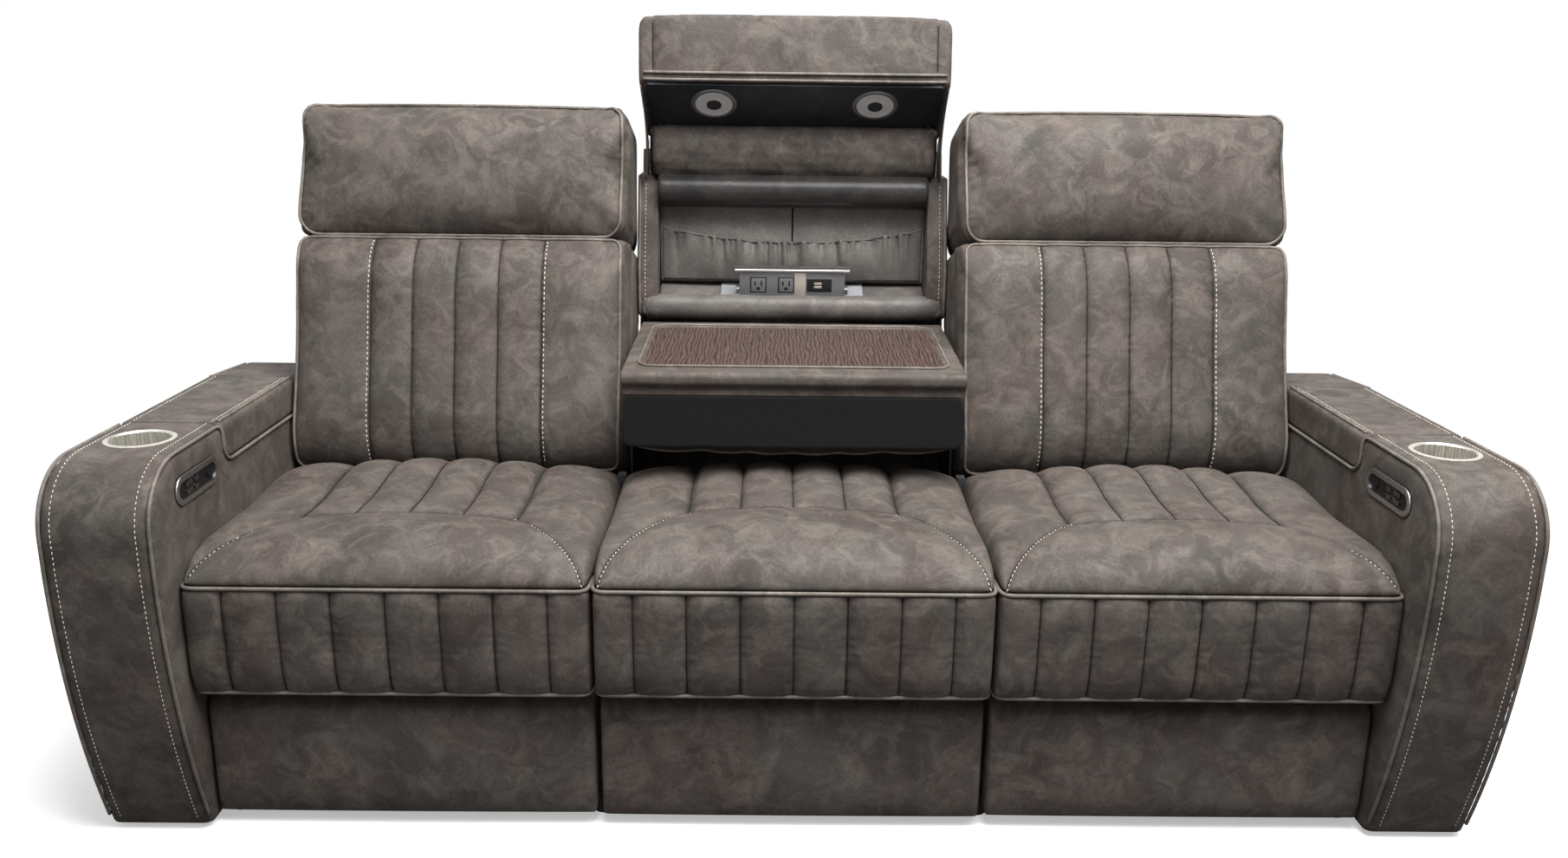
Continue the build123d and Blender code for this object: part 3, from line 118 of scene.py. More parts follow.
def points_of(piece):
    return vectors_of(piece.data.vertices, "co")


def ramp(values, start, end):
    """Rises from 0 to 1 between two values."""
    return np.clip((values - start) / (end - start), 0, 1)


def set_points(piece, points):
    piece.data.vertices.foreach_set("co", points.ravel())
    piece.data.update()


def tidy_mesh(piece, flat_angle=None, outward=False):
    """Merges a mesh's doubles, and joins its flat triangles or turns its faces out where asked."""
    mesh = bmesh.new()
    mesh.from_mesh(piece.data)
    bmesh.ops.remove_doubles(mesh, verts=mesh.verts, dist=1e-5)
    if flat_angle:
        bmesh.ops.dissolve_limit(
            mesh, angle_limit=radians(flat_angle), verts=mesh.verts, edges=mesh.edges
        )
    if outward:
        bmesh.ops.recalc_face_normals(mesh, faces=mesh.faces)
    mesh.to_mesh(piece.data)
    mesh.free()


def cover_of(solid, name, voxel=None, passes=0):
    """A new piece in the shape of a solid of the frame, softened where a voxel size is given."""
    piece = bpy.data.objects.new(name, nodes[solid].data.copy())
    collection.objects.link(piece)
    piece.data.materials.clear()
    tidy_mesh(piece)
    if voxel:
        soften(piece, voxel, passes)
    return piece


def cut_away(piece, place, outward):
    """Cuts a piece at a plane, takes off what is on the outward side and closes the cut."""
    mesh = bmesh.new()
    mesh.from_mesh(piece.data)
    bmesh.ops.bisect_plane(
        mesh,
        geom=mesh.verts[:] + mesh.edges[:] + mesh.faces[:],
        plane_co=Vector(place) * MM,
        plane_no=Vector(outward),
        clear_outer=True,
    )
    bmesh.ops.holes_fill(mesh, edges=[e for e in mesh.edges if e.is_boundary])
    mesh.to_mesh(piece.data)
    mesh.free()


def soften(piece, voxel, passes):
    """Gives a piece an even mesh and rounds its edges as foam under a cover does."""
    modify(piece, "even mesh", "REMESH", mode="VOXEL", voxel_size=voxel * MM)
    modify(piece, "soft edges", "SMOOTH", factor=0.5, iterations=passes)
    apply_modifiers(piece)


def refine(piece):
    modify(piece, "finer", "SUBSURF", levels=1, render_levels=1)
    apply_modifiers(piece)


# A light cover that stretches little and bends easily
STUFFED_COVER = {
    "quality": 4,
    "mass": 0.35,
    "tension_stiffness": 18,
    "compression_stiffness": 8,
    "shear_stiffness": 6,
    "bending_stiffness": 0.6,
    "use_pressure": True,
    "vertex_group_mass": "sewn",
}
SWELL_STEPS = 16


def swell(piece, held, pressure, reach):
    """Blows a sewn cover up like stuffing: what is held stays, the rest may move by reach."""
    start = points_of(piece)
    group = piece.vertex_groups.new(name="sewn")
    group.add([int(i) for i in np.nonzero(held)[0]], 1.0, "REPLACE")
    cloth = piece.modifiers.new("stuffing", "CLOTH")
    for key, value in STUFFED_COVER.items():
        setattr(cloth.settings, key, value)
    cloth.settings.uniform_pressure_force = pressure
    cloth.settings.effector_weights.gravity = 0
    cloth.collision_settings.use_collision = False
    cloth.point_cache.frame_start = 1
    cloth.point_cache.frame_end = SWELL_STEPS
    for step in range(1, SWELL_STEPS + 1):
        bpy.context.scene.frame_set(step)
    apply_modifiers(piece)
    bpy.context.scene.frame_set(1)
    piece.vertex_groups.clear()
    moved = points_of(piece) - start
    length = np.linalg.norm(moved, axis=1)
    keep = np.minimum(1, reach * MM / np.maximum(length, 1e-9))
    set_points(piece, start + moved * keep[:, None])


def resample(places, normals, pitch, closed=False):
    """Evenly spaced places along a line, with their normals."""
    both = np.hstack([np.array(places, float), np.array(normals, float)])
    if closed:
        both = np.vstack([both, both[:1]])
    steps = np.linalg.norm(np.diff(both[:, :3], axis=0), axis=1)
    along = np.concatenate([[0], np.cumsum(steps)])
    count = max(3, int(round(along[-1] / (pitch * MM))) + 1)
    stops = np.linspace(0, along[-1], count)[: count - 1 if closed else count]
    out = np.stack([np.interp(stops, along, both[:, k]) for k in range(6)], 1)
    return out[:, :3], out[:, 3:] / np.linalg.norm(out[:, 3:], axis=1)[:, None]


def surface(piece):
    faces = [tuple(f.vertices) for f in piece.data.polygons]
    return BVHTree.FromPolygons([tuple(p) for p in points_of(piece)], faces)


def lay(tree, points, way):
    """Drops a line of points (mm) along a direction onto a surface: places and normals."""
    way = Vector(way).normalized()
    places, normals = [], []
    for point in points:
        start = Vector(point) * MM - way * 0.25
        hit, normal = tree.ray_cast(start, way, 0.6)[:2]
        if hit is None:
            hit, normal = tree.find_nearest(Vector(point) * MM)[:2]
        if normal.dot(way) > 0:
            normal = -normal
        places.append(tuple(hit))
        normals.append(tuple(normal))
    return places, normals


def line(start, end, count=40):
    return [tuple(p) for p in np.linspace(start, end, count + 1)]


def tree_of(spots):
    """A search tree of places."""
    tree = KDTree(len(spots))
    for k, spot in enumerate(spots):
        tree.insert(spot, k)
    tree.balance()
    return tree


def sewn_down(points, lines):
    """Tells which points lie within 9 mm of the sewn lines."""
    tree = tree_of([spot for places, _ in lines for spot in places])
    return np.array([tree.find(p)[2] < 0.009 for p in points])


def paint_shade(piece, shares):
    """Paints shade into the cover at each point, in the seam attribute, unless it is painted darker already.
    """
    marks = piece.data.attributes
    mark = marks.get("seam") or marks.new("seam", "FLOAT", "POINT")
    before = np.zeros(len(shares))
    mark.data.foreach_get("value", before)
    mark.data.foreach_set("value", np.maximum(before, shares))


# Ripples beside a seam, the length over which they come and go, and how far they reach, in mm
RIPPLE, RIPPLE_DRIFT, RIPPLE_REACH = 19, 83, 6


def press(piece, lines, width, depth, pucker=0.0, shade=1.0):
    """Sinks sewn lines into a padded piece, puckers the cover beside them and paints shade along the seam.
    """
    pitch = 3
    stops, runs = [], []
    for sewn in lines:
        spots = resample(*sewn, pitch)[0]
        stops += [tuple(s) for s in spots]
        runs += [k * pitch for k in range(len(spots))]
    tree = tree_of(stops)
    points, normals = points_of(piece), vectors_of(piece.data.vertex_normals, "vector")
    found = [tree.find(p)[1:] for p in points]
    run = np.array([runs[f[0]] for f in found])
    away = np.array([f[1] for f in found]) / MM
    # A narrow groove in a broad valley, and ripples that come and go along the seam
    groove = np.exp(-((away / (0.6 * width)) ** 2))
    valley = np.exp(-((away / (2.1 * width)) ** 2))
    phase = run * 2 * pi / RIPPLE + 2.4 * np.sin(run * 2 * pi / RIPPLE_DRIFT)
    ripple = np.cos(phase) * away / RIPPLE_REACH * np.exp(-away / RIPPLE_REACH)
    sink = depth * (0.55 * groove + 0.45 * valley) - pucker * ripple
    set_points(piece, points - normals * sink[:, None] * MM)
    # Painted shade: the cover darkens along the seam's valley
    paint_shade(piece, shade * np.exp(-((away / (0.55 * width)) ** 2)))


def mesh_piece(name, points, faces, closed_up=True):
    mesh = bpy.data.meshes.new(name)
    mesh.from_pydata(points, [], faces)
    piece = bpy.data.objects.new(name, mesh)
    collection.objects.link(piece)
    if closed_up:
        tidy_mesh(piece, outward=True)
    return piece


def grid_faces(rows, columns, rows_close=False, columns_close=True, first=0):
    """The faces between points that are stored row by row; either way may close on itself."""
    return [
        tuple(first + k for k in (a + m, a + n, b + n, b + m))
        for r in range(rows if rows_close else rows - 1)
        for a, b in [(r * columns, (r + 1) % rows * columns)]
        for m in range(columns if columns_close else columns - 1)
        for n in [(m + 1) % columns]
    ]


def swept(name, centres, sides, ups, section, closed):
    """A mesh made by carrying a closed section (in side and up) along a line."""
    rings, count = len(centres), len(section)
    points = [
        tuple(centre + side * s * MM + up * u * MM)
        for centre, side, up in zip(centres, sides, ups)
        for s, u in section
    ]
    faces = grid_faces(rings, count, closed)
    if not closed:
        faces += [tuple(range(count))[::-1], tuple(range((rings - 1) * count, rings * count))]
    return mesh_piece(name, points, faces)


def frames_along(places, normals, closed):
    if closed:
        tangents = np.roll(places, -1, 0) - np.roll(places, 1, 0)
    else:
        tangents = np.gradient(places, axis=0)
    tangents /= np.linalg.norm(tangents, axis=1)[:, None]
    sides = np.cross(tangents, normals)
    sides /= np.linalg.norm(sides, axis=1)[:, None]
    return tangents, sides, np.cross(sides, tangents)


def piping(name, places, normals, radius=2.9, closed=False, proud=0.55):
    """Self piping: a cord in a folded strip of the cover, with the strip's flange in the seam."""
    places, normals = resample(places, normals, 6, closed)
    for _ in range(2):
        if closed:
            places = (np.roll(places, 1, 0) + 2 * places + np.roll(places, -1, 0)) / 4
        else:
            places[1:-1] = (places[:-2] + 2 * places[1:-1] + places[2:]) / 4
    sides, ups = frames_along(places, normals, closed)[1:]
    around = np.linspace(0, 2 * pi, 10, endpoint=False)
    section = [(radius * cos(a), radius * sin(a)) for a in around]
    return swept(name, places + ups * radius * proud * MM, sides, ups, section, closed)


# A stitch's four sections: its share of the length, its size and its height above the cover
STITCH = ((-0.5, 0.35, -0.25), (-0.2, 1.0, 0.35), (0.2, 1.0, 0.35), (0.5, 0.35, -0.25))
STITCH_RING = ((-0.5, 0.0), (0.0, 0.5), (0.5, 0.0), (0.0, -0.5))


def topstitching(name, rows, pitch=8.5, length=5.8, width=1.7):
    """Rows of thick thread stitches, each a small bead that dips into the cover at both ends."""
    points, faces = [], []
    for places, normals in rows:
        places, normals = resample(places, normals, pitch)
        for at, along, across, up in zip(places, *frames_along(places, normals, False)):
            base = len(points)
            for share, size, lift in STITCH:
                middle = at + along * share * length * MM + up * lift * MM
                size *= width * MM
                points += [tuple(middle + (across * s + up * u) * size) for s, u in STITCH_RING]
            faces += grid_faces(4, 4, first=base)
            faces += [tuple(base + k for k in ends) for ends in ((3, 2, 1, 0), (12, 13, 14, 15))]
    return mesh_piece(name, points, faces, closed_up=False)


def slab(name, middle, size, corner, turn=Matrix.Identity(3), segments=3):
    """A bevelled block (mm) whose own axes are turned by a matrix."""
    bpy.ops.object.select_all(action="DESELECT")
    bpy.ops.mesh.primitive_cube_add(size=1, location=(0, 0, 0))
    piece = bpy.context.object
    piece.name = piece.data.name = name
    piece.data.transform(Matrix.Diagonal((*(s * MM for s in size), 1)))
    modify(piece, "rounded edges", "BEVEL", width=corner * MM, segments=segments)
    apply_modifiers(piece)
    piece.data.transform(Matrix.Translation(Vector(middle) * MM) @ turn.to_4x4())
    return piece


def ring_piece(name, middle, axis, profile, sides=48):
    """A turned piece: a closed profile of (radius, height) in mm spun about an axis."""
    turn = Vector((0, 0, 1)).rotation_difference(Vector(axis).normalized()).to_matrix()
    points = [
        tuple((Vector(middle) + turn @ Vector((r * cos(a), r * sin(a), height))) * MM)
        for a in [2 * pi * k / sides for k in range(sides)]
        for r, height in profile
    ]
    return mesh_piece(name, points, grid_faces(sides, len(profile), rows_close=True))


def thicken(cloth, thickness):
    modify(cloth, "cloth thickness", "SOLIDIFY", thickness=thickness * MM, offset=0)
    apply_modifiers(cloth)


# --- Materials


def hex_colour(value):
    """sRGB hex to the linear colour that the shader takes."""
    parts = [int(value[k : k + 2], 16) / 255 for k in (1, 3, 5)]
    return (*(p / 12.92 if p <= 0.04045 else ((p + 0.055) / 1.055) ** 2.4 for p in parts), 1.0)


def add(tree, kind, links=None, stops=None, **settings):
    """Adds a shader node; an input takes a value, a hex colour, a socket or a node."""
    made = tree.nodes.new("ShaderNode" + kind)
    for key, value in settings.items():
        setattr(made, key, value)
    for key, value in (links or {}).items():
        if isinstance(value, bpy.types.Node):
            value = next(out for out in value.outputs if out.enabled)
        if isinstance(value, bpy.types.NodeSocket):
            tree.links.new(value, made.inputs[key])
        else:
            made.inputs[key].default_value = hex_colour(value) if isinstance(value, str) else value
    if stops:
        for element, (place, value) in zip(made.color_ramp.elements, stops):
            element.position = place
            element.color = hex_colour(value)
    return made


def start_nodes(owner):
    """Clears the nodes of a material or world, and gives what adds nodes to it."""
    owner.use_nodes = True
    owner.node_tree.nodes.clear()
    return partial(add, owner.node_tree)


def new_material(name):
    """A new material, what adds nodes to it, and the place that its patterns follow."""
    material = bpy.data.materials.new(name)
    node = start_nodes(material)
    return material, node, node("TexCoord").outputs["Object"]


def nubuck(name, colours, roughness=0.66, grain=0.16):
    """Brushed nubuck-look cover: polyurethane on a knitted back, napped so that it marks."""
    deep, middle, worn, warm, cool = colours.split()
    material, node, place = new_material(name)
    patches, marks, speckle, nap, crease = (
        node("TexNoise", {"Vector": place, "Scale": scale, "Detail": detail, **more})
        for scale, detail, more in (
            # Patches of nap brushed different ways, 150 to 200 mm across
            (7.0, 5.0, {"Distortion": 1.1}),
            # Rubbed marks, 30 to 60 mm
            (21.0, 9.0, {"Roughness": 0.7, "Distortion": 0.9}),
            # Fine mottling of the print, 4 mm
            (240.0, 3.0, {}),
            # Napped grain of about 1 mm, and soft handling creases of about 15 mm
            (950.0, 2.0, {}),
            (62.0, 4.0, {"Distortion": 0.8}),
        )
    )
    base = node("ValToRGB", {"Fac": patches}, stops=[(0.34, deep), (0.64, middle)])
    rub = node("ValToRGB", {"Fac": marks}, stops=[(0.45, "#000000"), (0.68, "#ffffff")])
    half = node("Math", {0: rub, 1: 0.55}, operation="MULTIPLY")
    rubbed = node("Mix", {0: half, 6: base, 7: worn}, data_type="RGBA")
    # Warmer and cooler areas, 100 to 150 mm
    tone = {"Vector": place, "Scale": 9.0, "Detail": 2.0, "W": 3.0}
    tone = node("TexNoise", tone, noise_dimensions="4D")
    hue = node("ValToRGB", {"Fac": tone}, stops=[(0.4, warm), (0.6, cool)])
    tinted = node("Mix", {0: 0.3, 6: rubbed, 7: hue}, data_type="RGBA")
    fine = {"From Min": 0.3, "From Max": 0.7, "To Min": 0.84, "To Max": 1.14}
    fine = node("MapRange", {"Value": speckle, **fine})
    mottled = {0: 1.0, 6: tinted, 7: fine}
    mottled = node("Mix", mottled, data_type="RGBA", blend_type="MULTIPLY")
    # Painted shade: the seam attribute darkens the cover in each seam's valley and over the console's box
    # face
    seam = node("Attribute", attribute_name="seam")
    shaded = node("Math", {0: seam.outputs["Fac"], 1: 0.72}, operation="MULTIPLY")
    colour = node("Mix", {0: shaded, 6: mottled, 7: "#121111"}, data_type="RGBA")
    soft = node("Bump", {"Height": crease, "Strength": 0.4, "Distance": 0.0018})
    bump = {"Height": nap, "Strength": grain, "Distance": 0.0004, "Normal": soft}
    bump = node("Bump", bump)
    # Rubbed marks are a little glossier than the raised nap
    gloss = {"From Min": 0.3, "From Max": 0.7, "To Min": roughness + 0.06}
    gloss = node("MapRange", {"Value": marks, **gloss, "To Max": roughness - 0.08})
    shader = {
        "Base Color": colour,
        "Roughness": gloss,
        "IOR": 1.48,
        "Specular IOR Level": 0.2,
        "Sheen Weight": 0.05,
        "Sheen Roughness": 0.45,
        "Sheen Tint": "#b9aea4",
        "Normal": bump,
    }
    node("OutputMaterial", {"Surface": node("BsdfPrincipled", shader)})
    return material


def close_grained(material, node, height, stops, strength, depth, shine):
    """The end that the hard materials share: a colour band, a fine relief and the shader."""
    colour = node("ValToRGB", {"Fac": height}, stops=stops)
    bump = node("Bump", {"Height": height, "Strength": strength, "Distance": depth})
    shader = node("BsdfPrincipled", {"Base Color": colour, "Normal": bump, **shine})
    node("OutputMaterial", {"Surface": shader})
    return material


def moulded(name, light, dark, roughness, coarse=420.0, specular=0.5):
    """Injection-moulded ABS or nylon with a fine spark-eroded texture."""
    material, node, place = new_material(name)
    grain = node("TexNoise", {"Vector": place, "Scale": coarse, "Detail": 2.0})
    shine = {"Roughness": roughness, "IOR": 1.53, "Specular IOR Level": specular}
    stops = [(0.3, dark), (0.7, light)]
    return close_grained(material, node, grain, stops, 0.25, 0.0002, shine)


def brushed(name, light, dark, roughness, stretch, metallic=1.0):
    """Brushed or turned metal: fine lines drawn out along the way it was worked."""
    material, node, place = new_material(name)
    lines = node("Mapping", {"Vector": place, "Scale": stretch})
    scratch = node("TexNoise", {"Vector": lines, "Scale": 90.0, "Detail": 5.0})
    shine = {"Roughness": roughness, "Metallic": metallic}
    stops = [(0.25, dark), (0.75, light)]
    return close_grained(material, node, scratch, stops, 0.2, 0.0001, shine)


def wood(name, light, dark, roughness, across, coat):
    """Wood grain: rings drawn out along the board, with pores."""
    material, node, place = new_material(name)
    board = node("Mapping", {"Vector": place, "Scale": across})
    rings = {"Vector": board, "Scale": 9.0, "Distortion": 9.0, "Detail": 5.0, "Detail Scale": 1.6}
    rings = node("TexWave", rings, bands_direction="X")
    pores = node("TexNoise", {"Vector": board, "Scale": 130.0, "Detail": 4.0})
    mixed = {0: 0.45, 6: rings, 7: pores.outputs["Color"]}
    mixed = node("Mix", mixed, data_type="RGBA")
    shine = {"Roughness": roughness, "IOR": 1.5, "Coat Weight": coat, "Coat Roughness": 0.3}
    stops = [(0.2, dark), (0.75, light)]
    return close_grained(material, node, mixed, stops, 0.25, 0.0004, shine)


# The cover is dull with soft marks, its piping painted paler as a painted highlight on the cords, and the
# smooth linings shine more; the linings are paler, partly as painted light in the recess, the recess wall is
# a lighter copy as painted light and the roll a near-black copy as painted shade
COVER, PIPING, LINING, WALL_PAINTED_LIGHT, ROLL_PAINTED_SHADE, PANEL_VINYL = (
    nubuck(*settings)
    for settings in (
        ("nubuck_look_cover_brushed", "#342f2b #4f4945 #7c736b #534743 #494843"),
        # The piping is paler than the cover: painted highlight along the raised cords
        ("nubuck_look_piping", "#4e4944 #6c655e #948c83 #675d59 #63605a", 0.52, 0.08),
        # The linings are paler than the cover, partly as painted light for the shaded recess
        ("smooth_leatherette_lining", "#454240 #605c58 #7c7670 #5c5553 #595752", 0.42, 0.06),
        ("recess_wall_leatherette_painted_light", "#6d6a66 #88847f #a39d97 #857d79 #817f79", 0.5, 0.06),
        ("glossy_leatherette_roll_painted_shade", "#1d1c1c #2f2d2c #474442 #2b2827 #292826", 0.34, 0.05),
        ("smooth_vinyl_lamp_panel", "#202125 #2d2e32 #3a3b40 #292a2e #2a2b2e", 0.42, 0.05),
    )
)
WEBBING = moulded("dust_cover_nonwoven", "#2a2928", "#161615", 0.9, 700.0)
# The seam thread is much darker than the cover: painted shade in the seam valleys
SEAM = moulded("seam_thread_painted_shade", "#2b2826", "#171514", 0.85, 900.0, 0.1)
THREAD = moulded("bonded_nylon_thread", "#cfc8ba", "#aaa294", 0.6, 900.0)
BLACK_ABS = moulded("abs_black_moulded", "#161617", "#0e0e0f", 0.42, specular=0.22)
GREY_ABS = moulded("abs_grey_moulded", "#8b8c8f", "#7d7e81", 0.42)
RIM_ABS = moulded("abs_dark_grey_lamp_rim", "#67686b", "#5a5b5e", 0.4)
OUTLET_ABS = moulded("abs_charcoal_outlet", "#303134", "#26272a", 0.4, specular=0.3)
GLOSS_ABS = moulded("abs_black_gloss_rocker", "#1b1b1d", "#111112", 0.12, specular=0.9)
CREAM_ABS = moulded("abs_cream_blank", "#d8d2c3", "#c9c3b4", 0.4)
LAMP_ABS = moulded("abs_silver_lamp_face", "#eeeeee", "#dcdcdd", 0.32)
BLACK_STEEL = brushed("steel_powder_coated_black", "#232325", "#19191b", 0.5, (1, 1, 1), 0.3)
STEEL = brushed("stainless_steel_brushed", "#fbf9f2", "#8f897c", 0.3, (7, 7, 0.3), 0.8)
NICKEL = brushed("zinc_satin_nickel_plated", "#c3c2bf", "#9b9a98", 0.3, (1, 1, 6))
ALUMINIUM = brushed("aluminium_anodised_brushed", "#e2e2e0", "#c2c2c0", 0.28, (0.4, 8, 8))
WOOD_FOIL = wood("laminate_dark_walnut", "#514039", "#261c19", 0.45, (5, 1, 1), 0.1)
TIMBER = wood("plywood_dark_stained_frame", "#3b3027", "#241c16", 0.7, (1, 6, 6), 0.0)
RUBBER = moulded("rubber_foot_black", "#232323", "#151515", 0.8)

SLOT_OF = dict.fromkeys((COVER, PIPING, LINING, WALL_PAINTED_LIGHT, ROLL_PAINTED_SHADE, SEAM, THREAD), "upholstery")
SLOT_OF[PANEL_VINYL] = "dark_panel"


def give(mesh, material):
    mesh.materials.clear()
    mesh.materials.append(material)


def finish_piece(piece, material, body, solid=None, smooth=True):
    """Gives a finished piece its material, shading, body and the solid that it stands for."""
    give(piece.data, material)
    if smooth is True:
        piece.data.shade_smooth()
    else:
        select_only(piece)
        bpy.ops.object.shade_smooth_by_angle(angle=radians(smooth))
    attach(piece, body)
    if solid:
        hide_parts(solid)
    return piece


def pipe(name, run, body, radius=2.9, closed=False, proud=0.55, material=PIPING):
    return finish_piece(piping(name, *run, radius, closed, proud), material, body)


def stitch(name, rows, body, *sizes):
    return finish_piece(topstitching(name, rows, *sizes), THREAD, body)


def seam_threads(name, tree, lines, way, body):
    """The sewn line itself: a thread at the bottom of each valley, darker than the cover as painted shade in
    the valley.
    """
    parts = []
    for k, (places, _) in enumerate(lines):
        spots, ups = lay(tree, [np.array(p) / MM for p in places], way)
        parts.append(piping(f"{name}_{k}", spots, ups, 0.95, proud=0.1))
    for part in parts[1:]:
        select_only(part)
        parts[0].select_set(True)
        bpy.context.view_layer.objects.active = parts[0]
        bpy.ops.object.join()
    parts[0].name = name
    finish_piece(parts[0], SEAM, body)


# --- Lines on the sofa, in mm


def on_back(centre, x, up, rearwards):
    """A point up the back's slope and behind its face."""
    return (
        centre + x,
        BACK_FOOT[0] + up * sin(TILT) + rearwards * cos(TILT),
        BACK_FOOT[1] + up * cos(TILT) - rearwards * sin(TILT),
    )


def up_and_behind(points):
    """How far up the back's slope, and how far behind its face, points lie."""
    y, z = points[:, 1] / MM - BACK_FOOT[0], points[:, 2] / MM - BACK_FOOT[1]
    return y * sin(TILT) + z * cos(TILT), y * cos(TILT) - z * sin(TILT)


def lay_on_back(tree, c, places):
    """Drops (across, up) places onto the face of a back's cushion."""
    return lay(tree, [on_back(c, x, up, CUSHION_FRONT) for x, up in places], INTO_BACK)


def rounded_loop(half, low, high, corner, steps=8):
    """A rounded rectangle as (across, up) points, from the low right corner round."""
    loop = []
    for quarter in range(4):
        cx = (half - corner) * (1 if quarter < 2 else -1)
        cy = high - corner if quarter in (1, 2) else low + corner
        for k in range(steps + 1):
            angle = radians(90 * (quarter - 1) + 90 * k / steps)
            loop.append((cx + corner * cos(angle), cy + corner * sin(angle)))
    filled = []
    for a, b in zip(loop, loop[1:] + loop[:1]):
        filled += line(a, b, max(1, int(dist(a, b) / 12)))[:-1]
    return filled


def arc_through(a, b, c, count=24):
    """Points on the circle through three side-view points, from the first to the last."""
    a, b, c = complex(*a), complex(*b), complex(*c)
    w = (c - a) / (b - a)
    centre = a + (b - a) * (w - abs(w) ** 2) / (2j * w.imag)
    turn = np.angle((c - centre) / (a - centre))
    arc = centre + (a - centre) * np.exp(1j * turn * np.linspace(0, 1, count))
    return [(p.real, p.imag) for p in arc]


def arm_line(inset, last_y, first_z=14.0):
    """Side view of an arm's front and top, from its foot, with outward normals, moved inside."""
    nose_y, nose_z, nose = -391, 532, 104
    low_z = nose_z - 62
    points = arc_through((-404, 10), (-469.5, 240), (nose_y - nose, low_z))
    points += [(nose_y - nose, low_z + 62 * k / 4) for k in range(1, 5)]
    points += [
        (nose_y - nose * cos(t), nose_z + nose * sin(t)) for t in np.linspace(0, pi / 2, 14)[1:]
    ]
    points += [(nose_y + k * (last_y - nose_y) / 10, ARM_TOP) for k in range(1, 11)]
    flat = np.array(points)
    way = np.gradient(flat, axis=0)
    way /= np.linalg.norm(way, axis=1)[:, None]
    out = np.stack([-way[:, 1], way[:, 0]], 1)
    inside = flat - out * inset
    keep = inside[:, 1] > first_z
    return inside[keep], out[keep]


# --- Arms and their lids


def make_arm(name, side):
    inner, outer = side * ARM_INNER, side * ARM_OUTER
    body = "frame"
    arm = cover_of(f"{name}_arm", f"{name}_arm_cover", 6.0, 4)
    rim = 4.7
    near, far = inner + side * rim, outer - side * rim

    def edge(x, places):
        return [(x * MM, y * MM, z * MM) for y, z in places]

    front, out = arm_line(rim, -226)
    edge_in = (edge(near, front), [(-side * 0.7, *(o * 0.7)) for o in out])
    edge_out = (edge(far, front), [(side * 0.7, *(o * 0.7)) for o in out])
    # Round the lid's flap, down the inner side and up again
    turn = np.linspace(0, pi / 2, 8)
    c, low = LID_CORNER, LID_LOW + LID_CORNER
    around = [(LID_FRONT, 628), (LID_FRONT, low)]
    around += [(LID_FRONT + c - c * cos(t), low - c * sin(t)) for t in turn[1:]]
    around += [(LID_REAR - c + c * sin(t), low - c * cos(t)) for t in turn]
    around = edge(inner + side * 0.5, around + [(LID_REAR, 628)])
    # The arm's top falls by 12 mm in 179 behind the lid
    tail = [(128 + 165 * k / 8, ARM_TOP - 12 * (8 + 165 * k / 8) / 179 - rim) for k in range(9)]
    tail_in, tail_out = edge(near, tail), edge(far, tail)
    flap_normals = [(-side, 0, 0.05)] * len(around)
    path_normals = edge_in[1] + flap_normals + [(-side * 0.7, 0, 0.7)] * len(tail)
    press(arm, [edge_in, edge_out], 5.0, 1.6, 0.8, 0.7)
    finish_piece(arm, COVER, body, f"{name}_arm")
    for label, run in (
        ("inner", (edge_in[0] + around + tail_in, path_normals)),
        ("outer_front", edge_out),
        ("outer_rear", (tail_out, [(side * 0.7, 0, 0.7)] * len(tail))),
    ):
        pipe(f"{name}_arm_piping_{label}", run, body)
    row_line, row_out = arm_line(0.0, -228, 20.0)
    tree = surface(arm)
    rows = []
    for offset in (22.0, ARM_OUTER - ARM_INNER - 22.0):
        places, normals = [], []
        for (y, z), (oy, oz) in zip(row_line, row_out):
            way = Vector((0, -oy, -oz))
            start = Vector((inner + side * offset, y, z)) * MM - way * 0.03
            hit = tree.ray_cast(start, way, 0.08)[0]
            if hit is not None:
                places.append(tuple(hit))
                normals.append((0, oy, oz))
        rows.append((places, normals))
    stitch(f"{name}_arm_topstitching", rows, body)

    body = f"{name}_lid"
    lid = cover_of(f"{name}_arm_lid", f"{name}_arm_lid_cover", 3.0, 4)
    seam = edge(inner + side * 14, [(y, ARM_TOP) for y in range(-214, 118, 4)])
    press(lid, [(seam, [(0, 0, 1)] * len(seam))], 5, 1.6, 0.7, 0.7)
    finish_piece(lid, COVER, body, f"{name}_arm_lid")
    tree = surface(lid)
    over = ARM_TOP + 4
    rows = [
        lay(tree, line((x, -208, over), (x, 110, over)), DOWN)
        for x in (inner + side * 20, outer - side * 20)
    ]
    stitch(f"{name}_lid_topstitching", rows, body)
    x = inner + side * 4
    run = lay(tree, line((x, -212, over), (x, 114, over)), (side * 0.7, 0, -0.7))
    pipe(f"{name}_lid_piping", run, body)


for name, side in SIDES.items():
    make_arm(name, side)

# --- Seats, front panels and lower fascia


